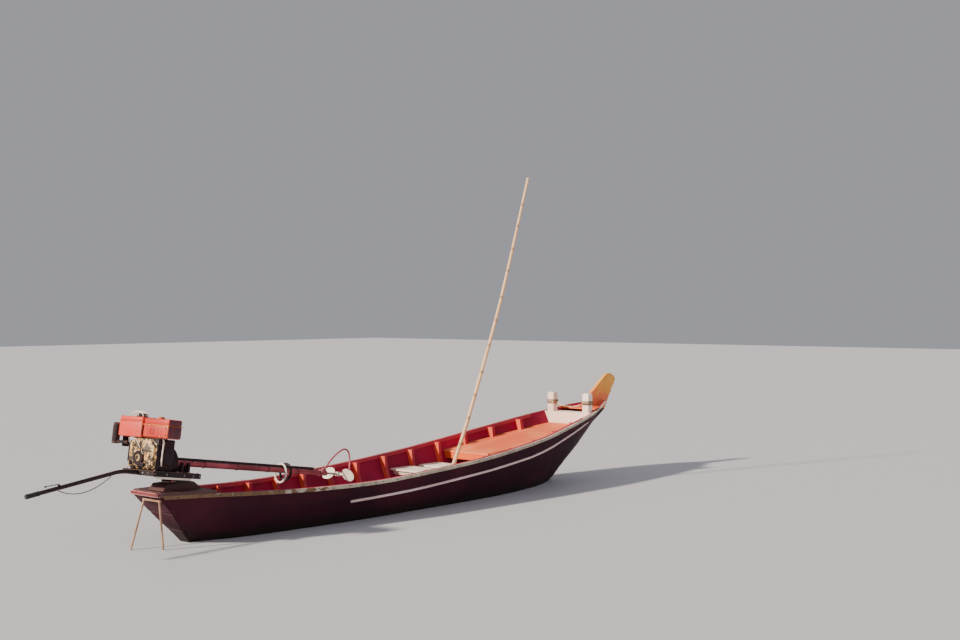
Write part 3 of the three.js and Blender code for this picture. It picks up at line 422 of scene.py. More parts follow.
FINISHES = {
    "hull": Coat("hull_paint_worn", linear(72, 23, 39), linear(49, 17, 30), linear(128, 96, 94),
                 Grain.ALONG_BOAT, worn=0.24, edge_wear=0.25, dirty=0.25, roughness=0.62, waterline=True,
                 specular=0.15, inner=linear(170, 30, 66), inner_shade=linear(132, 22, 56)),
    "outside": Coat("hull_paint_plain", linear(72, 23, 39), linear(49, 17, 30), linear(128, 96, 94),
                    Grain.ALONG_BOAT, worn=0.22, edge_wear=1.0, dirty=0.3, roughness=0.62, waterline=True,
                    specular=0.15),
    "rail": Coat("rail_paint_worn", linear(210, 198, 178), linear(182, 168, 150), linear(104, 88, 74),
                 Grain.ALONG_BOAT, worn=0.32, edge_wear=0.7, dirty=0.5, roughness=0.75,
                 end=linear(118, 90, 62), end_axis="X", end_at=-2.5, end_ragged=5.0),
    "strake": Coat("strake_paint_worn", linear(252, 226, 224), linear(238, 202, 202), linear(150, 100, 98),
                   Grain.ALONG_BOAT, worn=0.18, edge_wear=0.4, dirty=0.25, roughness=0.7),
    # The red parts' aft faces get a lit orange: painted sunlight.
    "red": Coat("red_paint_worn_painted_sunlit_aft", linear(188, 32, 58), linear(152, 22, 48), linear(150, 84, 70),
                worn=0.14, edge_wear=0.6, dirty=0.2, roughness=0.5, aft=linear(240, 98, 66)),
    # The cap's pale worn edges are partly worn paint and partly painted highlight.
    "cap": Coat("cap_paint_worn_and_painted_highlight", linear(134, 42, 48), linear(94, 30, 38), linear(240, 214, 206),
                Grain.ACROSS_BOAT, worn=0.42, edge_wear=1.1, dirty=0.4, roughness=0.5),
    "orange": Coat("orange_paint_worn", linear(244, 104, 36), linear(228, 84, 32), linear(160, 80, 60),
                   Grain.ACROSS_BOAT, worn=0.16, dirty=0.25, roughness=0.55),
    "deck": Coat("deck_paint_worn", linear(246, 138, 88), linear(230, 104, 60), linear(252, 196, 156),
                 Grain.ALONG_BOAT, worn=0.42, edge_wear=0.4, dirty=0.25, roughness=0.7,
                 dirt=linear(168, 78, 52)),
    "cream": Coat("cream_paint_worn", linear(253, 240, 224), linear(244, 218, 200), linear(186, 148, 122),
                  Grain.ACROSS_BOAT, worn=0.16, edge_wear=0.6, dirty=0.22, roughness=0.65,
                  dirt=linear(160, 112, 90)),
    "head": Coat("stemhead_paint_worn", linear(255, 190, 80), linear(246, 160, 70), linear(72, 70, 44),
                 Grain.UPRIGHT, worn=0.36, edge_wear=1.4, dirty=0.4, roughness=0.75, relief=0.003,
                 edge_radius=0.03, dirt=linear(104, 70, 44), end=linear(246, 124, 76), end_at=1.06),
    "dark_timber": Coat("oiled_timber", linear(84, 46, 46), linear(52, 30, 33), linear(126, 92, 78),
                        Grain.ALONG_BOAT, worn=0.26, edge_wear=0.8, dirty=0.4, roughness=0.55, relief=0.002),
    "pipe": Coat("rusty_pipe", linear(184, 148, 118), linear(140, 104, 80), RUST, worn=0.45, edge_wear=0.3,
                 dirty=0.4, scale=3.0, relief=0.0008),
    "frame": Coat("frame_steel_black", linear(44, 29, 35), linear(29, 20, 25), linear(140, 92, 72),
                  worn=0.32, edge_wear=1.0, dirty=0.4, roughness=0.5, scale=2.0, bare_metallic=0.3,
                  specular=0.25),
    "tail": Coat("tail_paint_worn", linear(198, 88, 98), linear(142, 50, 62), linear(232, 182, 174),
                 worn=0.34, edge_wear=0.8, dirty=0.42, roughness=0.45, scale=2.5),
    "hopper": Coat("hopper_paint_worn", linear(228, 78, 58), linear(214, 62, 48), RUST, worn=0.12,
                   edge_wear=0.9, dirty=0.22, roughness=0.4, scale=3.0, relief=0.0006),
    # The tank's yellow-orange worn patches are partly worn paint and partly painted highlight.
    "tank": Coat("tank_paint_worn_and_painted_light", linear(216, 62, 40), linear(186, 44, 34), linear(252, 186, 92),
                 worn=0.5, edge_wear=0.8, roughness=0.4, scale=2.2, relief=0.0006,
                 # The tank's starboard faces are painted dark as shade.
                 shadow_side=linear(62, 24, 40)),
    "case": Coat("gear_case_stained", linear(246, 208, 146), linear(220, 172, 108), linear(176, 100, 50),
                 worn=0.36, dirty=0.4, dirt=linear(70, 44, 26), roughness=0.5, scale=3.6, relief=0.0008,
                 blots=0.9),
    "iron": Coat("dark_iron_oily", linear(46, 29, 37), linear(29, 20, 26), RUST, worn=0.24, edge_wear=0.8,
                 dirty=0.5, dirt=OIL, roughness=0.5, scale=4.0, bare_metallic=0.2, specular=0.2),
    "muffler": Coat("muffler_rusty", linear(60, 42, 42), linear(40, 30, 33), linear(156, 112, 96),
                    worn=0.44, edge_wear=0.9, roughness=0.7, scale=5.0, specular=0.25),
    "blade": Coat("blade_metal_pale", linear(248, 236, 220), linear(228, 212, 196), linear(180, 150, 130),
                  worn=0.2, dirty=0.2, roughness=0.45, scale=5.0, dirt=linear(150, 118, 100)),
    "bamboo": Bamboo(),
    "rope": Fibre("old_rope", linear(232, 208, 176), linear(160, 128, 96)),
    "dark_rope": Fibre("tarred_rope", linear(190, 154, 118), linear(104, 74, 56)),
    "rubber": Fibre("black_rubber_worn", linear(40, 36, 38), linear(24, 22, 24), 0.7),
    "caulk": Fibre("seam_caulk", linear(28, 16, 20), linear(16, 10, 12), 0.8),
    "steel": BareMetal("oily_steel", linear(150, 144, 140)),
}

LENGTHS = ("aft", "mid", "fore")

# The CAD nodes that keep their own mesh, by finish
DRESSED = {
    "hull": [f"{strake}_planks_{length}_{side}" for side, _ in SIDES for strake in ("bottom", "side")
             for length in LENGTHS],
    "outside": ["keel", "stem_post"],
    "rail": ["rub_rail_port", "rub_rail_starboard"],
    "strake": ["side_strake_port", "side_strake_starboard"],
    "red": ["inwale_and_frames_port", "inwale_and_frames_starboard", "keelson_and_floors", "pole_step",
            "bow_well_board"],
    "cap": ["transom_cap"],
    "dark_timber": ["engine_bed"],
    "orange": ["foredeck_beam", "breasthook"],
    "cream": ["bow_cross_board"],
    "pipe": ["stern_pipe_frame"],
    "frame": ["swivel_plate", "engine_frame", "stiffener_pipe", "tiller"],
    "tail": ["swivel_yoke", "tail_tube", "propeller_guard"],
    "steel": ["tail_shaft"],
}


class Finishes:
    """Each finish's material, made once."""

    made: Dict[str, bpy.types.Material] = {}

    @classmethod
    def get(cls, key: str) -> bpy.types.Material:
        """The material of a finish.

        Args:
            key: The finish's key in FINISHES.

        Returns:
            The material.
        """
        if key not in cls.made:
            cls.made[key] = FINISHES[key].build()
        return cls.made[key]

    @classmethod
    def dress(cls) -> None:
        """Give the CAD nodes of DRESSED their finishes."""
        for finish, nodes in DRESSED.items():
            for name in nodes:
                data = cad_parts[name].data
                data.materials.clear()
                data.materials.append(cls.get(finish))
                LOG.info("%s: %s", name, finish)


# Making
def standing(place: Point, along: Point) -> Matrix:
    """A frame at a place whose Z axis points along a direction."""
    return Matrix.Translation(place) @ Vector(along).to_track_quat("Z", "Y").to_matrix().to_4x4()


def circle(count: int, radius: float = 1.0, first: float = 0.0) -> List[Pair]:
    """Even points round a circle.

    Args:
        count: How many.
        radius: The circle's radius.
        first: Where the first one is, in steps.

    Returns:
        The points.
    """
    turns = [FULL_TURN * (k + first) / count for k in range(count)]
    return [(radius * math.cos(a), radius * math.sin(a)) for a in turns]


def bevel(part: Solid, edges: Sequence[bmesh.types.BMEdge], width: float, segments: int = 2,
          clamp: bool = False) -> None:
    """Round some of a solid's edges.

    Args:
        part: The solid.
        edges: The edges.
        width: Width of the rounding.
        segments: Steps in it; one makes a chamfer.
        clamp: Whether it narrows where edges are close.
    """
    bmesh.ops.bevel(part, geom=edges, offset=width, offset_type="OFFSET", segments=segments, profile=0.5,
                    affect="EDGES", clamp_overlap=clamp, material=-1)


def sharp_edges(part: Solid, degrees: float) -> List[bmesh.types.BMEdge]:
    """The edges between two faces that meet at more than an angle."""
    limit = math.radians(degrees)
    return [e for e in part.edges if len(e.link_faces) == 2 and e.calc_face_angle(0) > limit]


def ellipsoid(radii: Point, u: int, v: int) -> Solid:
    """An ellipsoid about the origin.

    Args:
        radii: Its half sizes.
        u: Steps round.
        v: Steps up.

    Returns:
        The solid.
    """
    part = bmesh.new()
    bmesh.ops.create_uvsphere(part, u_segments=u, v_segments=v, radius=1.0)
    bmesh.ops.scale(part, vec=radii, verts=part.verts)
    return part


def block(low: Point, high: Point) -> Solid:
    """A plain box.

    Args:
        low: Lowest corner.
        high: Highest corner.

    Returns:
        The solid.
    """
    part = bmesh.new()
    bmesh.ops.create_cube(part, size=1.0)
    bmesh.ops.scale(part, vec=Vector(high) - Vector(low), verts=part.verts)
    bmesh.ops.translate(part, vec=(Vector(low) + Vector(high)) / 2, verts=part.verts)
    return part


def height_at(rows: Line, x: float) -> float:
    """Straight-line value in a table of x and height.

    Args:
        rows: The table, x rising.
        x: Where it is read, also past its ends.

    Returns:
        The height.
    """
    (x0, z0), (x1, z1) = next((pair for pair in zip(rows, rows[1:]) if x <= pair[1][0]), rows[-2:])
    return z0 + (z1 - z0) * (x - x0) / (x1 - x0)


class Maker:
    """One piece in the making. Solids are added to it in its body's frame, or in the one given."""

    def __init__(self, body: Body = Body.HULL, place: Optional[Matrix] = None) -> None:
        """Start an empty piece.

        Args:
            body: The body that it rides on.
            place: The frame of its solids, where it isn't the body's.
        """
        self.mesh = bmesh.new()
        self.body = body
        self.place = PLACES[body] if place is None else place

    def take(self, part: Solid, shift: Optional[Matrix] = None) -> None:
        """Add a solid and free it.

        Args:
            part: The solid.
            shift: Where it goes in the piece's frame.
        """
        bmesh.ops.recalc_face_normals(part, faces=part.faces)
        data = bpy.data.meshes.new("solid")
        part.to_mesh(data)
        part.free()
        if shift is not None:
            data.transform(shift)
        self.mesh.from_mesh(data)
        bpy.data.meshes.remove(data)

    def box(self, low: Point, high: Point, rounding: float = 0.002, segments: int = 2) -> None:
        """Add a box with rounded edges.

        Args:
            low: Lowest corner.
            high: Highest corner.
            rounding: Width of the rounding.
            segments: Steps in it.
        """
        part = block(low, high)
        bevel(part, part.edges[:], min(rounding, min(Vector(high) - Vector(low)) * 0.45), segments)
        self.take(part)

    def rod(self, start: Point, end: Point, radius: float, end_radius: Optional[float] = None,
            sides: int = 24, rounding: float = 0.0) -> None:
        """Add a round bar.

        Args:
            start: Centre of its first end.
            end: Centre of its other end.
            radius: Radius at the first end.
            end_radius: Radius at the other end, where it differs.
            sides: Number of sides.
            rounding: Rounding of its rims.
        """
        part = bmesh.new()
        along = Vector(end) - Vector(start)
        bmesh.ops.create_cone(part, cap_ends=True, segments=sides, radius1=radius,
                              radius2=end_radius or radius, depth=along.length)
        bmesh.ops.translate(part, vec=(0, 0, along.length / 2), verts=part.verts)
        if rounding > 0:
            bevel(part, [e for e in part.edges if max(len(f.verts) for f in e.link_faces) > 4], rounding)
        self.take(part, standing(start, along))

    def turned(self, profile: Sequence[Pair], start: Point, along: Point, sides: int) -> None:
        """Add a lathe shape.

        Args:
            profile: Radius and distance along the axis, from one end of the axis to the other.
            start: The axis's first point, where the distance is 0.
            along: Which way the axis runs.
            sides: Steps round.
        """
        part = bmesh.new()
        verts = [part.verts.new((radius, 0, far)) for radius, far in profile]
        edges = [part.edges.new(pair) for pair in zip(verts, verts[1:])]
        bmesh.ops.spin(part, geom=verts + edges, cent=(0, 0, 0), axis=(0, 0, 1), angle=FULL_TURN,
                       steps=sides, use_merge=True)
        bmesh.ops.remove_doubles(part, verts=part.verts, dist=1e-6)
        self.take(part, standing(start, along))

    def ball(self, centre: Point, radii: Point, u: int, v: int) -> None:
        """Add an ellipsoid, with its steps round and up."""
        self.take(ellipsoid(radii, u, v), Matrix.Translation(centre))

    def tube(self, path: Sequence[Point], radius: float, sides: int = 10, closed: bool = False,
             smooth: bool = True) -> None:
        """Add a bent bar along a path.

        Args:
            path: The points of its middle line.
            radius: Its radius.
            sides: Steps round it.
            closed: Whether it is a ring.
            smooth: Whether the line curves through the points.
        """
        line = bpy.data.curves.new("line", "CURVE")
        line.dimensions = "3D"
        line.resolution_u = 6
        spline = line.splines.new("BEZIER" if smooth else "POLY")
        knots = spline.bezier_points if smooth else spline.points
        knots.add(len(path) - 1)
        for knot, point in zip(knots, path):
            knot.co = point if smooth else (*point, 1.0)
            if smooth:
                knot.handle_left_type = knot.handle_right_type = "AUTO"
        spline.use_cyclic_u = closed
        line.bevel_depth = radius
        line.bevel_resolution = max(1, sides // 2 - 2)
        line.use_fill_caps = not closed
        holder = bpy.data.objects.new("line", line)
        data = bpy.data.meshes.new_from_object(holder)
        bpy.data.objects.remove(holder)
        bpy.data.curves.remove(line)
        part = bmesh.new()
        part.from_mesh(data)
        bpy.data.meshes.remove(data)
        bmesh.ops.remove_doubles(part, verts=part.verts, dist=1e-6)
        self.take(part)

    def prism(self, outline: Sequence[Pair], low: float, high: float, shift: Matrix, rounding: float,
              segments: int) -> None:
        """Add a flat outline with thickness and rounded edges.

        Args:
            outline: The outline's points, in its own plane.
            low: Where its thickness starts.
            high: Where its thickness ends.
            shift: The plane's place.
            rounding: Width of the rounding.
            segments: Steps in it.
        """
        part = bmesh.new()
        face = part.faces.new([part.verts.new((x, y, low)) for x, y in outline])
        grown = bmesh.ops.extrude_face_region(part, geom=[face])
        top = [g for g in grown["geom"] if isinstance(g, bmesh.types.BMVert)]
        bmesh.ops.translate(part, vec=(0, 0, high - low), verts=top)
        bmesh.ops.recalc_face_normals(part, faces=part.faces)
        bevel(part, part.edges[:], rounding, segments)
        self.take(part, shift)

    def bolts(self, places: Sequence[Point], along: Point, size: float, proud: float) -> None:
        """Add hexagon heads on washers.

        Args:
            places: Where they stand on the surface.
            along: Which way they point.
            size: The washer's radius, nearly.
            proud: A head's height.
        """
        way = Vector(along).normalized()
        for place in places:
            base = Vector(place)
            self.rod(base - way * 0.002, base + way * 0.0015, size * 0.95, sides=14)
            self.rod(base, base + way * proud, size * 0.62, sides=6, rounding=size * 0.08)

    def finish(self, name: str, finish: str, slot: str, *replaces: str,
               smooth_angle: float = 35.0) -> bpy.types.Object:
        """Make the object, dress it and fasten it to its body.

        Args:
            name: The piece's name.
            finish: The key of its finish.
            slot: The record's material slot; not used.
            replaces: CAD nodes that it stands for.
            smooth_angle: Edges sharper than this stay sharp, in degrees.

        Returns:
            The object.
        """
        self.mesh.transform(self.place)
        data = bpy.data.meshes.new(name)
        self.mesh.to_mesh(data)
        self.mesh.free()
        data.shade_smooth()
        data.set_sharp_from_angle(angle=math.radians(smooth_angle))
        data.materials.append(Finishes.get(finish))
        piece = bpy.data.objects.new(name, data)
        bpy.context.scene.collection.objects.link(piece)
        if replaces:
            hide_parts(*replaces)
        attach(piece, self.body.value)
        LOG.info("%s: %d faces on %s", name, len(data.polygons), self.body.value)
        return piece


def merged_node(name: str) -> Solid:
    """A copy of a CAD node's mesh with its triangles merged, as a solid still to be taken.

    Args:
        name: The node.

    Returns:
        The solid.
    """
    part = bmesh.new()
    part.from_mesh(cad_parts[name].data)
    bmesh.ops.remove_doubles(part, verts=part.verts, dist=1e-5)
    bmesh.ops.dissolve_limit(part, angle_limit=math.radians(1), verts=part.verts, edges=part.edges)
    return part


# Studio
@dataclass
class Studio:
    """The camera at the photograph's angle, soft lights, and a pale floor at the waterline."""

    camera_at: Point = (-10.751, -9.736, 2.2)
    look: Pair = (0.7683, 0.6401)
    pitch: float = math.radians(-0.458)
    lens: float = 46.875
    view_reach: float = 300.0
    suns: Tuple[Tuple[str, Point, float, float, Color], ...] = (
        ("key", (0.82, -0.32, -0.47), 6.8, 3.0, (1.0, 0.90, 0.76)),
        ("fill", (0.35, 0.85, -0.45), 0.44, 60.0, (1.0, 0.92, 0.98)),
    )
    sky: Color = (0.84, 0.84, 0.92)
    sky_strength: float = 0.42
    floor_half: float = 60.0
    floor_color: Color = (0.60, 0.60, 0.63)
    floor_roughness: float = 0.55

    def add(self, name: str, data: Any, way: Vector) -> bpy.types.Object:
        """Put a camera or a light in the scene.

        Args:
            name: Its name.
            data: The camera or light.
            way: Where it looks.

        Returns:
            The object.
        """
        made = bpy.data.objects.new(name, data)
        made.rotation_euler = way.to_track_quat("-Z", "Y").to_euler()
        bpy.context.scene.collection.objects.link(made)
        return made

    def camera(self) -> None:
        """Set the camera."""
        data = bpy.data.cameras.new("camera")
        data.lens = self.lens
        data.sensor_width = 36.0
        data.clip_end = self.view_reach
        camera = self.add("camera", data, Vector((*self.look, math.tan(self.pitch))))
        camera.location = self.camera_at
        bpy.context.scene.camera = camera

    def lights(self) -> None:
        """Set a soft low key from aft and port, a fill, and the sky."""
        for name, way, strength, angle, color in self.suns:
            data = bpy.data.lights.new(name, "SUN")
            data.energy = strength
            data.angle = math.radians(angle)
            data.color = color
            self.add(name, data, Vector(way))
        world = bpy.data.worlds.new("sky")
        world.use_nodes = True
        background = world.node_tree.nodes["Background"]
        background.inputs[0].default_value = (*self.sky, 1.0)
        background.inputs[1].default_value = self.sky_strength
        bpy.context.scene.world = world

    def floor(self) -> None:
        """Lay the floor."""
        part = bmesh.new()
        bmesh.ops.create_grid(part, x_segments=1, y_segments=1, size=self.floor_half)
        data = bpy.data.meshes.new("floor")
        part.to_mesh(data)
        part.free()
        s = Shader("floor_pale")
        s.surface_is(Base_Color=self.floor_color, Roughness=self.floor_roughness)
        data.materials.append(s.material)
        floor = bpy.data.objects.new("floor", data)
        bpy.context.scene.collection.objects.link(floor)


# Ropes
@dataclass
class BowRope:
    """The slack line between the bollards and its turns round each of them."""

    post_x: float = 2.805
    post_y: float = 0.284
    half: float = 0.048
    radius: float = 0.008
    step: float = 0.004
    strand_share: float = 0.52
    strands: int = 3
    middle_z: float = 0.974
    sag: float = 0.062
    points: int = 16
    slack_lay: float = 0.05
    turn_heights: Floats = (0.957, 0.974, 0.991)
    turn_tilt: float = 0.004
    turn_phase: float = 2.2
    turn_lay: float = 0.045
    corner: float = 0.018

    def lay(self, maker: Maker, path: Sequence[Point], pitch: float) -> None:
        """Lay strands round a line.

        Args:
            maker: The piece they go into.
            path: The rope's middle line.
            pitch: The length of one turn of the lay.
        """
        path = self.dense(path)
        strand = self.radius * self.strand_share
        for index in range(self.strands):
            walked = 0.0
            line: List[Point] = []
            for here, back, on in zip(path, path[:1] + path, path[1:] + path[-1:]):
                turn = (on - back).normalized().to_track_quat("Z", "Y")
                angle = FULL_TURN * (walked / pitch + index / self.strands)
                offset = turn @ Vector((math.cos(angle), math.sin(angle), 0)) * (self.radius - strand)
                line.append(tuple(here + offset))
                walked += (on - here).length
            maker.tube(line, strand, sides=6, smooth=False)

    def dense(self, path: Sequence[Point]) -> List[Vector]:
        """Short even steps along a line.

        Args:
            path: The line.

        Returns:
            The points.
        """
        out: List[Vector] = []
        for a, b in zip(map(Vector, path), map(Vector, path[1:])):
            count = max(1, round((b - a).length / self.step))
            out += [a.lerp(b, i / count) for i in range(count)]
        return out + [Vector(path[-1])]

    def build_slack(self) -> None:
        """The line that hangs between the bollards."""
        reach = self.post_y - self.half - self.radius / 2
        shares = [2 * i / self.points - 1 for i in range(self.points + 1)]
        path = [(self.post_x, f * reach, self.middle_z - self.sag * (1 - f * f)) for f in shares]
        maker = Maker()
        self.lay(maker, path, self.slack_lay)
        piece = maker.finish("slack_rope_laid", "rope", "rope", "slack_rope")

    def build_turns(self) -> None:
        """Turns round each bollard, with round corners."""
        reach = self.half + GAP + self.radius - self.corner
        for name, side in SIDES:
            maker = Maker()
            for turn, height in enumerate(self.turn_heights):
                loop: List[Point] = []
                for quarter in range(4):
                    middle = (quarter + 0.5) * math.pi / 2
                    x = self.post_x + math.copysign(reach, math.cos(middle))
                    y = side * self.post_y + math.copysign(reach, math.sin(middle))
                    for k in range(5):
                        a = quarter * math.pi / 2 + k * math.pi / 8
                        z = height + self.turn_tilt * math.sin(a + self.turn_phase * turn)
                        loop.append((x + self.corner * math.cos(a), y + self.corner * math.sin(a), z))
                self.lay(maker, loop + loop[:1], self.turn_lay)
            maker.finish(f"rope_turns_{name}", "dark_rope", "rope")


@dataclass
class ThrottleCable:
    """The throttle's cable, which hangs in a shallow bow under the tiller."""

    radius: float = 0.004
    start_x: float = -0.668
    end_x: float = -1.205
    sag: float = 0.078
    count: int = 20
    tiller_radius: float = 0.019
    tiller_line: Line = (
        (-1.400, -0.178), (-1.060, -0.086), (-0.700, 0.012), (-0.582, 0.042), (-0.420, 0.049),
        (-0.3723, 0.049),
    )

    def under(self, x: float) -> float:
        """Height of the tiller's underside."""
        return height_at(self.tiller_line, x) - self.tiller_radius

    def build(self) -> None:
        start, end = self.under(self.start_x), self.under(self.end_x)
        path: List[Point] = []
        for i in range(self.count + 1):
            f = i / self.count
            z = start + (end - start) * f - self.radius - 2 * GAP - self.sag * 4 * f * (1 - f)
            path.append(tuple(DRIVE_PLACE @ Vector((self.start_x + (self.end_x - self.start_x) * f, 0, z))))
        maker = Maker(Body.DRIVE, Matrix())
        maker.tube(path, self.radius, sides=10, smooth=False)
        piece = maker.finish("throttle_cable_sheathed", "rubber", "black_rubber", "throttle_cable")


# Hull
@dataclass
class Hull:
    """The seams between the planks and the nails of the rails."""

    chine: Line = (
        (-3.49, 0.100), (-3.21, 0.048), (-2.9, 0.014), (-2.2, 0.0), (0.2, 0.0), (0.9, 0.008), (1.5, 0.032),
        (1.9, 0.070), (2.23, 0.125), (2.4, 0.160), (2.57, 0.210), (3.1, 0.40),
    )
    sheer: Line = (
        (-3.85, 0.5), (-3.4, 0.482), (-2.9, 0.452), (-2.2, 0.424), (-1.4, 0.424), (-0.6, 0.463), (0.2, 0.516),
        (0.9, 0.588), (1.5, 0.662), (1.9, 0.722), (2.35, 0.790), (2.8, 0.856), (3.2, 0.922), (3.55, 0.960),
    )
    reach: float = 2.0
    seam_shares: Floats = (0.30, 0.62)
    seam_ends: Pair = (-3.36, 3.2)
    seam_step: float = 0.08
    seam_radius: float = 0.0035
    rail_depth: float = 0.036
    nail_ends: Pair = (-3.70, 3.35)
    nail_step: float = 0.21
    nail_rows: Pair = (0.62, 0.42)
    nail_radius: float = 0.007
    nail_dome: float = 0.45

    def face_of(self, *nodes: str) -> BVHTree:
        """The surface of some CAD nodes.

        Args:
            nodes: The nodes' names.

        Returns:
            The surface, which rays can be sent to.
        """
        part = bmesh.new()
        for node in nodes:
            part.from_mesh(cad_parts[node].data)
        tree = BVHTree.FromBMesh(part)
        part.free()
        return tree

    def hit(self, tree: BVHTree, x: float, z: float, side: int) -> Tuple[Optional[Vector], Optional[Vector]]:
        """The point and the normal of a surface's outer side at a place along and up the boat."""
        return tree.ray_cast(Vector((x, side * self.reach, z)), Vector((0, -side, 0)))[:2]

    def build_seams(self) -> None:
        """Lines of caulk between the planks."""
        for name, side in SIDES:
            maker = Maker()
            planks = self.face_of(*(f"side_planks_{length}_{name}" for length in LENGTHS))
            for share in self.seam_shares:
                line = []
                x, last = self.seam_ends
                while x < last:
                    z = height_at(self.chine, x) * (1 - share) + height_at(self.sheer, x) * share
                    point, normal = self.hit(planks, x, z, side)
                    if point is not None:
                        line.append(tuple(point - normal * self.seam_radius * 0.45))
                    x += self.seam_step
                maker.tube(line, self.seam_radius, sides=6, smooth=False)
            maker.finish(f"plank_seams_{name}", "caulk", "hull_paint")

    def build_nails(self) -> None:
        """Domed nail heads along the rub rails."""
        first, last = self.nail_ends
        for name, side in SIDES:
            maker = Maker()
            rail = self.face_of(f"rub_rail_{name}")
            for i in range(round((last - first) / self.nail_step) + 1):
                x = first + i * self.nail_step
                z = height_at(self.sheer, x) - self.rail_depth * self.nail_rows[i % 2]
                point, normal = self.hit(rail, x, z, side)
                if point is not None and normal.y * side > 0.5:
                    part = bmesh.new()
                    bmesh.ops.create_uvsphere(part, u_segments=8, v_segments=5, radius=self.nail_radius)
                    bmesh.ops.scale(part, vec=(1, 1, self.nail_dome), verts=part.verts)
                    maker.take(part, standing(point, normal))
            maker.finish(f"rail_nails_{name}", "iron", "dark_iron")

    def build(self) -> None:
        """Make the seams and the nails."""
        self.build_seams()
        self.build_nails()


@dataclass(frozen=True)
class Planks:
    """Planks cut from a CAD node: its name, looks, the way across them, and their ends and width."""

    node: str
    piece: str
    finish: str
    slot: str
    across: Point
    first: float
    last: float
    wide: float


@dataclass
class Boards:
    """Decks and boards, cut into planks with open joints."""

    joint: float = 0.003
    rounding: float = 0.002
    decks: Tuple[Planks, ...] = (
        Planks("foredeck", "foredeck_planks", "deck", "deck_paint", (0, 1, 0), -0.675, 0.675, 0.135),
        Planks("stern_deck", "stern_deck_planks", "dark_timber", "dark_timber", (0, 1, 0),
               -0.375, 0.375, 0.125),
        Planks("mid_board_fore", "mid_board_fore_planks", "cream", "cream_paint", (1, 0, 0),
               0.452, 0.784, 0.111),
        Planks("mid_board_aft", "mid_board_aft_planks", "cream", "cream_paint", (1, 0, 0),
               -0.036, 0.300, 0.112),
        Planks("transom_board", "transom_planks", "outside", "hull_paint", (0, 0, 1), -0.05, 0.49, 0.18),
    )

    def cut(self, part: Solid, across: Vector, place: float, way: int) -> None:
        """Cut a solid off past a plane and close it.

        Args:
            part: The solid.
            across: The plane's normal.
            place: Where the plane is along its normal.
            way: 1 to cut what is past it and -1 what is before it.
        """
        geometry = part.verts[:] + part.edges[:] + part.faces[:]
        bmesh.ops.bisect_plane(part, geom=geometry, plane_co=across * place, plane_no=across * way,
                               clear_outer=True)
        bmesh.ops.holes_fill(part, edges=[e for e in part.edges if e.is_boundary])

    def build(self) -> None:
        """Make each deck and board."""
        for deck in self.decks:
            maker = Maker()
            across = Vector(deck.across)
            count = max(1, math.ceil((deck.last - deck.first) / deck.wide))
            for i in range(count):
                part = merged_node(deck.node)
                if i > 0:
                    self.cut(part, across, deck.first + i * deck.wide + self.joint / 2, -1)
                if i < count - 1:
                    self.cut(part, across, deck.first + (i + 1) * deck.wide - self.joint / 2, 1)
                if not part.faces:
                    part.free()
                    continue
                bmesh.ops.recalc_face_normals(part, faces=part.faces)
                bevel(part, sharp_edges(part, 40), self.rounding, 1, clamp=True)
                maker.take(part)
            maker.finish(deck.piece, deck.finish, deck.slot, deck.node)


@dataclass
class BowPosts:
    """The stemhead and the two bollards."""

    head_chamfer: float = 0.012
    head_mesh: float = 0.02
    head_wear: float = 0.004
    head_wear_scale: float = 9.0
    bollard_x: float = 2.805
    bollard_y: float = 0.284
    bollard_half: float = 0.048
    bollard_foot: float = 0.8463
    bollard_top: float = 1.100
    bollard_chamfer: float = 0.014
    bollard_rounding: float = 0.003

    def build_stemhead(self) -> None:
        """The stemhead with chamfered edges and a surface worn in and out, most on its fore face."""
        maker = Maker()
        part = merged_node("stemhead")
        bmesh.ops.recalc_face_normals(part, faces=part.faces)
        bevel(part, sharp_edges(part, 50), self.head_chamfer, clamp=True)
        bmesh.ops.triangulate(part, faces=[f for f in part.faces if len(f.verts) > 4])
        for _ in range(3):
            long = [e for e in part.edges if e.calc_length() > self.head_mesh]
            bmesh.ops.subdivide_edges(part, edges=long, cuts=1, use_grid_fill=True)
        part.normal_update()
        for vert in part.verts:
            push = noise.fractal(vert.co * self.head_wear_scale, 0.8, 2.0, 4)
            front = 1.0 + 2.0 * max(0.0, vert.normal.x)
            vert.co += vert.normal * self.head_wear * front * min(0.0, push - 0.5)
        maker.take(part)
        maker.finish("stemhead_weathered", "head", "head_paint", "stemhead", smooth_angle=50)

    def build_bollards(self) -> None:
        """The bollards, with chamfered heads."""
        half, foot, top = self.bollard_half, self.bollard_foot, self.bollard_top
        for name, side in SIDES:
            maker = Maker(place=Matrix.Translation((self.bollard_x, side * self.bollard_y, 0)))
            part = block((-half, -half, foot), (half, half, top))
            bevel(part, [e for e in part.edges if all(v.co.z > top - 0.001 for v in e.verts)],
                  self.bollard_chamfer, 1)
            bevel(part, part.edges[:], self.bollard_rounding)
            maker.take(part)
            maker.finish(f"bollard_{name}_post", "cream", "cream_paint", f"bollard_{name}")

    def build(self) -> None:
        """Make the posts."""
        self.build_stemhead()
        self.build_bollards()


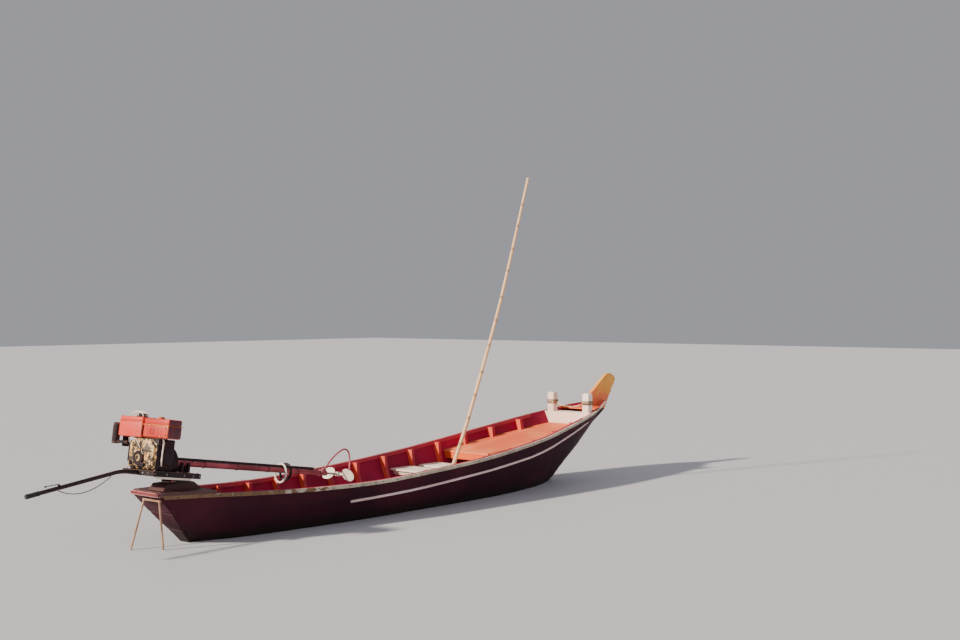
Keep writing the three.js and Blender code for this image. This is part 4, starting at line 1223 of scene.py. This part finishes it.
@dataclass
class Pole:
    """The bamboo pole, bowed a little, with its joints."""

    line: Line = (
        (0.204, -0.088), (0.444, 0.369), (0.602, 0.666), (0.803, 1.088), (1.219, 2.031), (1.490, 2.732),
        (1.893, 3.880),
    )
    line_steps: int = 12
    foot_radius: float = 0.026
    tip_radius: float = 0.018
    first_joint: float = 0.22
    bare_tip: float = 0.1
    joint_step: float = 0.31
    joint_stops: Floats = (-0.12, -0.03, -0.006, -0.002, 0.002, 0.008, 0.03, 0.12)
    joint_mark: float = 0.01
    groove: float = 0.95
    between_joints: float = 0.93

    def spine(self) -> List[Vector]:
        """Close points on the smooth curve through the pole's line.

        Returns:
            The points, foot first.
        """
        knots = [Vector((x, 0, z)) for x, z in self.line]
        knots = [2 * knots[0] - knots[1], *knots, 2 * knots[-1] - knots[-2]]
        points = []
        for a, b, c, d in zip(knots, knots[1:], knots[2:], knots[3:]):
            for step in range(self.line_steps):
                t = step / self.line_steps
                points.append(0.5 * (2 * b + (c - a) * t + (2 * a - 5 * b + 4 * c - d) * t * t
                                     + (3 * b - a - 3 * c + d) * t * t * t))
        return points + [knots[-2]]

    def profile(self, length: float, joints: Sequence[float]) -> List[Pair]:
        """Radius and distance along the pole, with a swelling and a groove at each joint.

        Args:
            length: The pole's length.
            joints: Where its joints are.

        Returns:
            The profile, foot first.
        """
        stops = [0.0, length] + [joint + off for joint in joints for off in self.joint_stops]
        outline = [(0.0, 0.0)]
        for d in sorted(stop for stop in stops if 0 <= stop <= length):
            near = min(abs(d - joint) for joint in joints)
            share = self.between_joints if near > 0.02 else self.groove if near < 0.0025 else 1.0
            radius = self.foot_radius + (self.tip_radius - self.foot_radius) * d / length
            outline.append((radius * share, d))
        return outline + [(0.0, length)]

    def build(self) -> None:
        """Make the pole straight, then bend it along its line."""
        spine = self.spine()
        walked = [0.0]
        for a, b in zip(spine, spine[1:]):
            walked.append(walked[-1] + (b - a).length)
        length = walked[-1]
        joints = []
        at = self.first_joint
        while at < length - self.bare_tip:
            joints.append(at)
            at += self.joint_step * (0.85 + 0.3 * noise.random())
        maker = Maker()
        maker.turned(self.profile(length, joints), (0, 0, 0), UP, 20)
        mark = maker.mesh.verts.layers.float.new("joint")
        for vert in maker.mesh.verts:
            d = min(max(vert.co.z, 0.0), length)
            vert[mark] = 1.0 if min(abs(d - joint) for joint in joints) < self.joint_mark else 0.0
            k = min(max(i for i, reached in enumerate(walked) if reached <= d), len(spine) - 2)
            centre = spine[k].lerp(spine[k + 1], (d - walked[k]) / (walked[k + 1] - walked[k]))
            ahead = (spine[k + 1] - spine[k]).normalized()
            vert.co = centre + Vector((ahead.z, 0, -ahead.x)) * vert.co.x + Vector((0, 1, 0)) * vert.co.y
        maker.finish("pole_cane", "bamboo", "bamboo", "pole", smooth_angle=60)


# Drive
@dataclass
class SwivelMount:
    """The bolts of the yoke that turns on the engine bed."""

    bolts: int = 6
    bolt_ring: float = 0.048
    plate_top: float = 0.599

    def build(self) -> None:
        """Add the yoke's bolts."""
        maker = Maker(Body.SWIVEL)
        places = [(x, y, self.plate_top) for x, y in circle(self.bolts, self.bolt_ring, 0.5)]
        maker.bolts(places, UP, 0.006, 0.004)
        maker.finish("swivel_yoke_bolts", "steel", "frame_steel")


@dataclass
class EngineFrame:
    """The bolts of the steel frame under the engine, and a pale strip under its starboard bar that paints a
    line of light.
    """

    bar_y: float = 0.190
    bar_half: float = 0.022
    top: float = 0.074
    middle: float = 0.049
    aft: float = -0.372
    top_bolts: Floats = (-0.342, -0.070, 0.060, 0.180)
    side_bolts: Floats = (-0.352, -0.212, 0.0, 0.110, 0.186)
    end_bolts: Floats = (-0.140, -0.070, 0.070, 0.140)
    # A pale strip along the starboard bar's lower edge: a painted highlight.
    strip_low: Point = (-0.340, -0.2120, 0.0060)
    strip_high: Point = (0.090, -0.196, 0.0245)

    def build(self) -> None:
        """Add the bolts and the pale strip, a painted highlight."""
        maker = Maker(Body.DRIVE)
        for side in (1, -1):
            outer = side * (self.bar_y + self.bar_half)
            maker.bolts([(x, side * self.bar_y, self.top) for x in self.top_bolts], UP, 0.012, 0.009)
            maker.bolts([(x, outer, self.middle) for x in self.side_bolts], (0, side, 0), 0.010, 0.007)
        maker.bolts([(self.aft, y, self.middle) for y in self.end_bolts], AFT, 0.010, 0.007)
        maker.finish("engine_frame_bolts", "steel", "frame_steel")
        strip = Maker(Body.DRIVE)
        strip.box(self.strip_low, self.strip_high, 0.001)
        strip.finish("engine_frame_highlight_strip", "blade", "frame_steel")


@dataclass
class EngineBlock:
    """The cast block with ribs and a side cover."""

    low: Point = (-0.310, -0.171, 0.0743)
    high: Point = (-0.115, 0.190, 0.366)
    rib_heights: Floats = (0.115, 0.310, 0.335)
    rib_inset: float = 0.012
    rib_proud: float = 0.006
    rib_thick: float = 0.009
    cover: Tuple[Pair, Pair] = ((-0.238, 0.130), (-0.130, 0.300))
    cover_proud: float = 0.010
    cover_bolts: Grid = ((-0.230, -0.138), (0.140, 0.215, 0.290))
    root: float = 0.01

    def build(self) -> None:
        """Make the block."""
        maker = Maker(Body.DRIVE)
        maker.box(self.low, self.high, 0.010, 3)
        (aft, side, _), fore = self.low, self.high[0]
        for z in self.rib_heights:
            maker.box((aft + self.rib_inset, side - self.rib_proud, z),
                      (fore - self.rib_inset, side + self.root, z + self.rib_thick))
        (x0, z0), (x1, z1) = self.cover
        face = side - self.cover_proud
        maker.box((x0, face, z0), (x1, side + self.root, z1), 0.006, 3)
        xs, zs = self.cover_bolts
        maker.bolts([(x, face, z) for x in xs for z in zs], (0, -1, 0), 0.007, 0.004)
        maker.finish("engine_block_cast", "iron", "block_iron", "engine_block")


@dataclass
class GearCase:
    """The gear case cover with its flange, bosses and bolts, and the dark parts on it."""

    aft: float = -0.310
    thick: float = 0.036
    flange: float = 0.012
    outline: Line = (
        (-0.165, 0.114), (-0.135, 0.084), (0.142, 0.084), (0.192, 0.134), (0.192, 0.318), (0.152, 0.358),
        (-0.105, 0.358), (-0.165, 0.308),
    )
    middle: Pair = (0.0135, 0.221)
    body_share: float = 0.91
    bolt_share: float = 0.955
    bolt_step: float = 0.06
    bosses: Tuple[Tuple[float, float, float, float], ...] = (
        (0.130, 0.128, 0.036, 0.012), (-0.080, 0.215, 0.030, 0.010), (0.120, 0.300, 0.026, 0.010),
    )
    crank: Pair = (0.036, 0.180)
    crank_proud: float = 0.022
    crank_hub: Line = (
        (0, 0.008), (0.016, 0.008), (0.018, 0), (0.027, 0), (0.033, 0.006), (0.033, 0.030), (0, 0.030),
    )
    crank_ring: Line = ((0.034, 0), (0.060, 0), (0.066, 0.005), (0.066, 0.026), (0.034, 0.026))
    ring_proud: float = 0.020
    nut: Line = ((0, 0), (0.016, 0), (0.020, 0.003), (0.020, 0.014), (0, 0.014))
    # How proud each raised part is, its ends in y and z, and its rounding with the steps in it
    raised: Tuple[Tuple[float, Pair, Pair, float, int], ...] = (
        (0.010, (-0.125, 0.250), (0.030, 0.256), 0.002, 2),
        (0.008, (0.050, 0.215), (0.150, 0.250), 0.006, 3),
        (0.012, (-0.135, 0.095), (-0.085, 0.170), 0.005, 3),
    )
    root: float = 0.01
    pump: Corners = ((-0.364, -0.050, 0.100), (-0.348, 0.020, 0.140))
    long_pipe: Path = (
        (-0.358, 0.030, 0.225), (-0.364, 0.010, 0.260), (-0.362, 0.020, 0.310), (-0.330, 0.060, 0.350),
    )
    short_pipe: Path = ((-0.360, 0.020, 0.120), (-0.376, 0.060, 0.104), (-0.380, 0.110, 0.098))

    def shrunk(self, y: float, z: float, share: float) -> Pair:
        """A point moved towards the middle of the outline, to a share of its distance."""
        return self.middle[0] + (y - self.middle[0]) * share, self.middle[1] + (z - self.middle[1]) * share

    def build_cover(self, face: float) -> None:
        """The pale castings.

        Args:
            face: Where the cover's aft face is.
        """
        maker = Maker(Body.DRIVE)
        plane = Matrix(((0, 0, 1, 0), (1, 0, 0, 0), (0, 1, 0, 0), (0, 0, 0, 1)))
        rim = self.aft - self.flange
        maker.prism(self.outline, rim, self.aft - GAP, plane, 0.002, 2)
        inside = [self.shrunk(y, z, self.body_share) for y, z in self.outline]
        maker.prism(inside, face, self.aft - 0.010, plane, 0.007, 3)
        for y, z, r, proud in self.bosses:
            top = proud + self.root
            maker.turned([(0, 0.006), (r * 0.35, 0.006), (r * 0.40, 0.012), (r * 0.66, 0.012), (r * 0.76, 0),
                          (r, 0.002), (r, top), (0, top)], (face - proud, y, z), FORE, 32)
        for (y0, z0), (y1, z1) in zip(self.outline, self.outline[1:] + self.outline[:1]):
            steps = max(1, round(math.hypot(y1 - y0, z1 - z0) / self.bolt_step))
            line = [(y0 + (y1 - y0) * k / steps, z0 + (z1 - z0) * k / steps) for k in range(steps)]
            maker.bolts([(rim, *self.shrunk(y, z, self.bolt_share)) for y, z in line], AFT, 0.008, 0.006)
        maker.turned(self.crank_hub, (face - self.crank_proud, *self.crank), FORE, 32)
        for proud, low, high, rounding, segments in self.raised:
            maker.box((face - proud, *low), (face + self.root, *high), rounding, segments)
        maker.finish("gear_case_cast", "case", "block_iron", "gear_case_cover")

    def build_dark_parts(self, face: float) -> None:
        """The nut, the ring round the crank, the pump and its pipes.

        Args:
            face: Where the cover's aft face is.
        """
        maker = Maker(Body.DRIVE)
        maker.turned(self.nut, (face - self.crank_proud, *self.bosses[0][:2]), FORE, 24)
        maker.turned(self.crank_ring, (face - self.ring_proud, *self.crank), FORE, 36)
        maker.box(*self.pump, 0.006, 3)
        maker.tube(self.long_pipe, 0.005, 8)
        maker.tube(self.short_pipe, 0.006, 8)
        maker.finish("gear_case_dark_parts", "iron", "dark_iron")

    def build(self) -> None:
        """Make the cover and what is on it."""
        face = self.aft - self.thick
        self.build_cover(face)
        self.build_dark_parts(face)


@dataclass
class CylinderHead:
    """The cylinder head with its fins, rocker cover, studs and plug."""

    casting: Corners = ((-0.278, 0.1903, 0.122), (-0.157, 0.262, 0.328))
    rocker_cover: Corners = ((-0.266, 0.260, 0.134), (-0.169, 0.299, 0.316))
    fins: int = 5
    fin: Corners = ((-0.282, 0.196, 0.118), (-0.153, 0.201, 0.332))
    fin_step: float = 0.012
    studs: Grid = ((-0.258, -0.177), (0.142, 0.308))
    plug: Corners = ((-0.2175, 0.292, 0.225), (-0.2175, 0.2995, 0.225))

    def build(self) -> None:
        """Make the head."""
        maker = Maker(Body.DRIVE)
        maker.box(*self.casting, 0.006)
        maker.box(*self.rocker_cover, 0.014, 4)
        for k in range(self.fins):
            out = Vector((0, k * self.fin_step, 0))
            maker.box(*(Vector(corner) + out for corner in self.fin), 0.001)
        xs, zs = self.studs
        maker.bolts([(x, self.casting[1][1], z) for x in xs for z in zs], (0, 1, 0), 0.011, 0.012)
        maker.rod(*self.plug, 0.016, sides=18, rounding=0.002)
        maker.finish("cylinder_head_cast", "iron", "dark_iron", "cylinder_head")


@dataclass
class Hopper:
    """The water hopper with its overhanging lid, its cap and the wire bail over it."""

    shell: Boxes = (
        ((-0.330, 0.065, 0.3663), (-0.152, 0.386, 0.512), 0.014, 4),
        ((-0.332, 0.063, 0.508), (-0.150, 0.388, 0.517), 0.003, 2),
        ((-0.328, 0.067, 0.515), (-0.154, 0.384, 0.556), 0.014, 4),
    )
    lid_bolts: Grid = ((-0.312, -0.170), (0.085, 0.366))
    lid_top: float = 0.5555
    cap_at: Point = (-0.240, 0.175, 0.555)
    cap: Line = (
        (0, 0), (0.050, 0), (0.054, 0.004), (0.050, 0.010), (0.036, 0.012), (0.036, 0.020), (0.040, 0.022),
        (0.040, 0.030), (0.030, 0.034), (0, 0.035),
    )
    bail_x: Floats = (-0.272, -0.246, -0.214)
    bail_middle: Pair = (0.215, 0.5565)
    bail_half: Pair = (0.085, 0.050)
    bail_radius: float = 0.0042

    def build(self) -> None:
        """Make the hopper, the cap and the bail."""
        maker = Maker(Body.DRIVE)
        for box in self.shell:
            maker.box(*box)
        xs, ys = self.lid_bolts
        maker.bolts([(x, y, self.lid_top) for x in xs for y in ys], UP, 0.007, 0.005)
        maker.finish("water_hopper_shell", "hopper", "hopper_paint", "water_hopper")
        cap = Maker(Body.DRIVE)
        cap.turned(self.cap, self.cap_at, UP, 32)
        cap.finish("hopper_cap", "iron", "dark_iron")
        bail = Maker(Body.DRIVE)
        (y, z), (wide, tall) = self.bail_middle, self.bail_half
        for x in self.bail_x:
            arc = [(x, y + wide * cos, z + tall * sin) for cos, sin in circle(24)[:13]]
            bail.tube(arc, self.bail_radius, 8)
        bail.finish("hopper_bail", "blade", "shaft_steel")


@dataclass
class Tank:
    """The fuel tank in two pressed halves, with its flange, fittings and cap."""

    shell: Boxes = (
        ((-0.302, -0.150, 0.3663), (-0.190, 0.020, 0.400), 0.004, 2),
        ((-0.330, -0.298, 0.372), (-0.162, 0.047, 0.492), 0.020, 5),
        ((-0.332, -0.300, 0.486), (-0.160, 0.049, 0.493), 0.002, 2),
        ((-0.328, -0.296, 0.490), (-0.164, 0.045, 0.550), 0.018, 5),
        ((-0.3315, -0.288, 0.384), (-0.320, -0.248, 0.486), 0.003, 2),
    )
    bracket_bolts: Path = ((-0.3315, -0.268, 0.402), (-0.3315, -0.268, 0.464))
    ring_at: Point = (-0.333, -0.080, 0.430)
    ring: Line = ((0.024, 0), (0.027, 0.001), (0.027, 0.004), (0.024, 0.004))
    slot: Corners = ((-0.3335, 0.050, 0.395), (-0.322, 0.062, 0.478))
    cap_at: Point = (-0.246, -0.090, 0.549)
    cap: Line = (
        (0, 0), (0.034, 0), (0.034, 0.005), (0.030, 0.006), (0.030, 0.017), (0.027, 0.020), (0.010, 0.022),
        (0, 0.022),
    )
    cap_ribs: int = 12
    cap_rib_ring: float = 0.0295
    cap_rib_ends: Pair = (0.555, 0.567)

    def build(self) -> None:
        """Make the tank, its fittings and its cap."""
        maker = Maker(Body.DRIVE)
        for box in self.shell:
            maker.box(*box)
        maker.finish("fuel_tank_shell", "tank", "tank_paint", "fuel_tank")
        fittings = Maker(Body.DRIVE)
        fittings.bolts(self.bracket_bolts, AFT, 0.007, 0.004)
        fittings.turned(self.ring, self.ring_at, FORE, 28)
        fittings.box(*self.slot)
        fittings.finish("tank_fittings", "iron", "dark_iron")
        cap = Maker(Body.DRIVE)
        cap.turned(self.cap, self.cap_at, UP, 28)
        foot, top = self.cap_rib_ends
        for dx, dy in circle(self.cap_ribs, self.cap_rib_ring):
            x, y = self.cap_at[0] + dx, self.cap_at[1] + dy
            cap.rod((x, y, foot), (x, y, top), 0.003, sides=8)
        cap.finish("tank_cap", "tank", "tank_paint")


@dataclass
class Pipes:
    """The exhaust, the air cleaner and the fuel lines."""

    muffler_at: Point = (-0.300, 0.446, 0.290)
    muffler: Line = (
        (0, 0), (0.028, 0), (0.036, 0.008), (0.036, 0.012), (0.0375, 0.014), (0.036, 0.016), (0.036, 0.180),
        (0.0375, 0.182), (0.036, 0.184), (0.036, 0.190), (0.028, 0.198), (0.014, 0.200), (0.014, 0.180),
        (0, 0.180),
    )
    exhaust: Path = (
        (-0.268, 0.300, 0.311), (-0.272, 0.340, 0.311), (-0.285, 0.385, 0.311), (-0.300, 0.425, 0.311),
    )
    exhaust_flange: Corners = ((-0.291, 0.3003, 0.295), (-0.249, 0.307, 0.327))
    cleaner_at: Point = (-0.190, 0.430, 0.270)
    cleaner: Line = (
        (0, 0), (0.028, 0), (0.034, 0.006), (0.034, 0.050), (0.036, 0.052), (0.036, 0.058), (0.033, 0.060),
        (0.033, 0.090), (0.036, 0.092), (0.034, 0.100), (0.018, 0.106), (0.006, 0.107), (0.006, 0.115),
        (0, 0.115),
    )
    inlet: Path = (
        (-0.190, 0.300, 0.293), (-0.190, 0.330, 0.293), (-0.190, 0.370, 0.293), (-0.190, 0.405, 0.293),
    )
    inlet_flange: Corners = ((-0.207, 0.3003, 0.277), (-0.173, 0.306, 0.309))
    drain: Path = (
        (-0.262, -0.150, 0.374), (-0.265, -0.174, 0.358), (-0.266, -0.182, 0.330), (-0.269, -0.183, 0.230),
        (-0.266, -0.181, 0.150), (-0.256, -0.172, 0.122),
    )
    filter_at: Point = (-0.262, -0.180, 0.330)
    filter_radii: Point = (0.013, 0.011, 0.013)
    feed: Path = (
        (-0.352, -0.020, 0.215), (-0.358, 0.020, 0.270), (-0.352, 0.100, 0.345), (-0.335, 0.190, 0.350),
        (-0.290, 0.270, 0.345), (-0.2175, 0.300, 0.240),
    )

    def build(self) -> None:
        """Make the muffler, the air cleaner and the fuel lines."""
        muffler = Maker(Body.DRIVE)
        muffler.turned(self.muffler, self.muffler_at, UP, 32)
        muffler.tube(self.exhaust, 0.015, 14)
        muffler.box(*self.exhaust_flange, 0.003)
        muffler.finish("muffler_drum", "muffler", "dark_iron", "muffler")
        cleaner = Maker(Body.DRIVE)
        cleaner.turned(self.cleaner, self.cleaner_at, UP, 32)
        cleaner.tube(self.inlet, 0.014, 12)
        cleaner.box(*self.inlet_flange, 0.003)
        cleaner.finish("air_cleaner_drum", "iron", "dark_iron", "air_cleaner")
        lines = Maker(Body.DRIVE)
        lines.tube(self.drain, 0.008, 12)
        lines.ball(self.filter_at, self.filter_radii, 16, 10)
        lines.tube(self.feed, 0.0032, 8)
        lines.finish("fuel_lines", "blade", "shaft_steel")


@dataclass
class Tail:
    """The tail tube's collar, clamps and grease nipples, and the two rings that hang on it."""

    radius: float = 0.028
    clamps: Floats = (0.42, 0.86, 1.30, 1.74)
    nipples: Floats = (0.260, 2.080)
    collar: Pair = (2.100, 2.132)
    stiffener_top: float = 0.2093
    rings: Tuple[Tuple[str, float, float, float, Pair, str, str], ...] = (
        ("tail_ring_aft", 1.500, 0.085, 0.010, (0.8, 1.0), "blade", "blade_metal"),
        ("tail_ring_fore", 1.570, 0.062, 0.013, (1.0, 1.1), "iron", "dark_iron"),
    )

    def build(self) -> None:
        """Make the clamps with the nipples, the collar and the rings."""
        maker = Maker(Body.DRIVE)
        for x in self.clamps:
            hoop = [(x, y, SHAFT_Z + z) for y, z in circle(28, self.radius + 0.002)]
            maker.tube(hoop, 0.003, 6, closed=True)
        r = self.radius
        for x in self.nipples:
            maker.rod((x, -r * 0.7, SHAFT_Z + r * 0.7), (x, -r, SHAFT_Z + r), 0.004, sides=8)
        maker.finish("tail_clamps", "iron", "frame_steel")
        collar = Maker(Body.DRIVE)
        start, end = self.collar
        long = end - start
        collar.turned([(r - 0.001, 0), (r + 0.008, 0.001), (r + 0.008, long - 0.001), (r - 0.001, long)],
                      (start, 0, SHAFT_Z), FORE, 32)
        collar.finish("tail_collar", "tail", "tail_paint")
        for name, x, inner, bar, (wide, tall), finish, slot in self.rings:
            ring = Maker(Body.DRIVE)
            middle = self.stiffener_top + GAP - inner * tall
            line = [(x, y * wide, middle + z * tall) for y, z in circle(28, inner + bar)]
            ring.tube(line, bar, 14, closed=True)
            ring.finish(f"{name}_bar", finish, slot, name)


@dataclass
class ShaftLine:
    """What turns: the flywheel and the propeller."""

    wheel_ends: Pair = (-0.1147, -0.032)
    wheel: Line = (
        (0, 0), (0.045, 0), (0.045, 0.030), (0.118, 0.036), (0.122, 0.0207), (0.148, 0.0207), (0.150, 0.023),
        (0.150, 0.047), (0.1455, 0.051), (0.150, 0.055), (0.150, 0.0805), (0.148, 0.0827), (0.122, 0.0827),
        (0.118, 0.065), (0.052, 0.059), (0.045, 0.0827), (0.028, 0.0827), (0.026, 0.079), (0, 0.079),
    )
    wheel_bolts: int = 6
    wheel_bolt_ring: float = 0.036
    hub_ends: Pair = (2.366, 2.464)
    hub_radius: float = 0.024
    blade_reach: float = 0.140
    blade_long: float = 0.084
    blade_wide: float = 0.074
    blade_thick: float = 0.005
    blade_pitch: float = 0.5
    blade_aft: float = 0.012
    blade_camber: float = 0.006

    def build_flywheel(self) -> None:
        """The flywheel with its hub, web and grooved rim."""
        maker = Maker(Body.SHAFT)
        aft, fore = self.wheel_ends
        maker.turned(self.wheel, (aft, 0, SHAFT_Z), FORE, 56)
        ring = circle(self.wheel_bolts, self.wheel_bolt_ring)
        maker.bolts([(fore - 0.0005, y, SHAFT_Z + z) for y, z in ring], FORE, 0.008, 0.006)
        maker.finish("flywheel_cast", "iron", "dark_iron", "flywheel")

    def build_propeller(self) -> None:
        """The hub and its two broad round blades."""
        maker = Maker(Body.SHAFT)
        aft, fore = self.hub_ends
        r, long = self.hub_radius, fore - aft
        maker.turned([(0, 0), (r * 0.8, 0), (r, 0.006), (r, 0.062), (r * 0.82, 0.068), (r * 0.82, 0.072),
                      (0.015, 0.074), (0.015, 0.086), (0.008, long), (0, long)], (aft, 0, SHAFT_Z), FORE, 28)
        middle = (aft + fore) / 2 - self.blade_aft
        for side in (1, -1):
            part = ellipsoid((self.blade_thick, self.blade_long, self.blade_wide), 40, 24)
            for vert in part.verts:
                out, up = vert.co.y / self.blade_long, vert.co.z / self.blade_wide
                vert.co.x += self.blade_camber * ((1 - out * out) * (1 - up * up) - 0.5)
            turn = Matrix.Rotation(side * self.blade_pitch, 3, "Y")
            bmesh.ops.rotate(part, cent=(0, 0, 0), matrix=turn, verts=part.verts)
            bmesh.ops.translate(part, vec=(middle, side * self.blade_reach, SHAFT_Z), verts=part.verts)
            maker.take(part)
            maker.rod((middle, side * 0.012, SHAFT_Z), (middle, side * 0.100, SHAFT_Z), 0.013, 0.007, 16)
        maker.finish("propeller_cast", "blade", "blade_metal", "propeller")

    def build(self) -> None:
        """Make the turning parts."""
        self.build_flywheel()
        self.build_propeller()


@dataclass
class Tiller:
    """The ribbed grip and the throttle lever of the long steering bar."""

    tip: Pair = (-1.400, -0.178)
    before: Pair = (-1.060, -0.086)
    grip_radius: float = 0.023
    grip_length: float = 0.128
    grooves_from: float = 0.010
    grooves_end: float = 0.018
    groove_step: float = 0.008
    groove: Line = ((0.86, 0), (0.86, 0.002), (0.94, 0.003), (0.94, 0.006))
    lever_root: Tuple[Pair, Pair] = ((0.20, 0.018), (0.20, 0.034))
    lever: Line = ((0.20, 0.030), (0.17, 0.036), (0.11, 0.040), (0.06, 0.042))

    def build(self) -> None:
        """Make the grip and the lever."""
        (x0, z0), (x1, z1) = self.before, self.tip
        way = Vector((x1 - x0, 0, z1 - z0)).normalized()
        tip = Vector((x1, 0, z1))
        r, long = self.grip_radius, self.grip_length
        profile = [(0, 0), (r, 0), (r, 0.006)]
        at = self.grooves_from
        while at < long - self.grooves_end:
            profile += [(r * share, at + on) for share, on in self.groove]
            at += self.groove_step
        profile += [(r * 0.96, long - 0.008), (r * 0.8, long - 0.001), (0, long - GAP)]
        grip = Maker(Body.DRIVE)
        grip.turned(profile, tip + way * GAP, way, 24)
        grip.finish("tiller_grip_ribbed", "rubber", "black_rubber", "tiller_grip")
        root, path = ([tip - way * d + Vector((0, 0, up)) for d, up in line]
                      for line in (self.lever_root, self.lever))
        lever = Maker(Body.DRIVE)
        lever.rod(*root, 0.012, sides=16, rounding=0.002)
        lever.tube(path, 0.004, 8)
        lever.ball(path[-1], (0.009, 0.009, 0.009), 14, 8)
        lever.finish("throttle_lever", "iron", "frame_steel")


def main() -> None:
    """Build the boat's looks in order."""
    logging.basicConfig(level=logging.INFO, format="%(message)s")
    noise.seed_set(7)
    studio = Studio()
    studio.camera()
    rope = BowRope()
    rope.build_slack()
    ThrottleCable().build()
    studio.lights()
    studio.floor()
    rope.build_turns()
    Finishes.dress()
    for part in (Hull(), Boards(), BowPosts(), Pole(), SwivelMount(), EngineFrame(), EngineBlock(),
                 GearCase(), CylinderHead(), Hopper(), Tank(), Pipes(), Tail(), ShaftLine(), Tiller()):
        LOG.info("building %s", type(part).__name__)
        part.build()


if __name__ == "__main__":
    main()
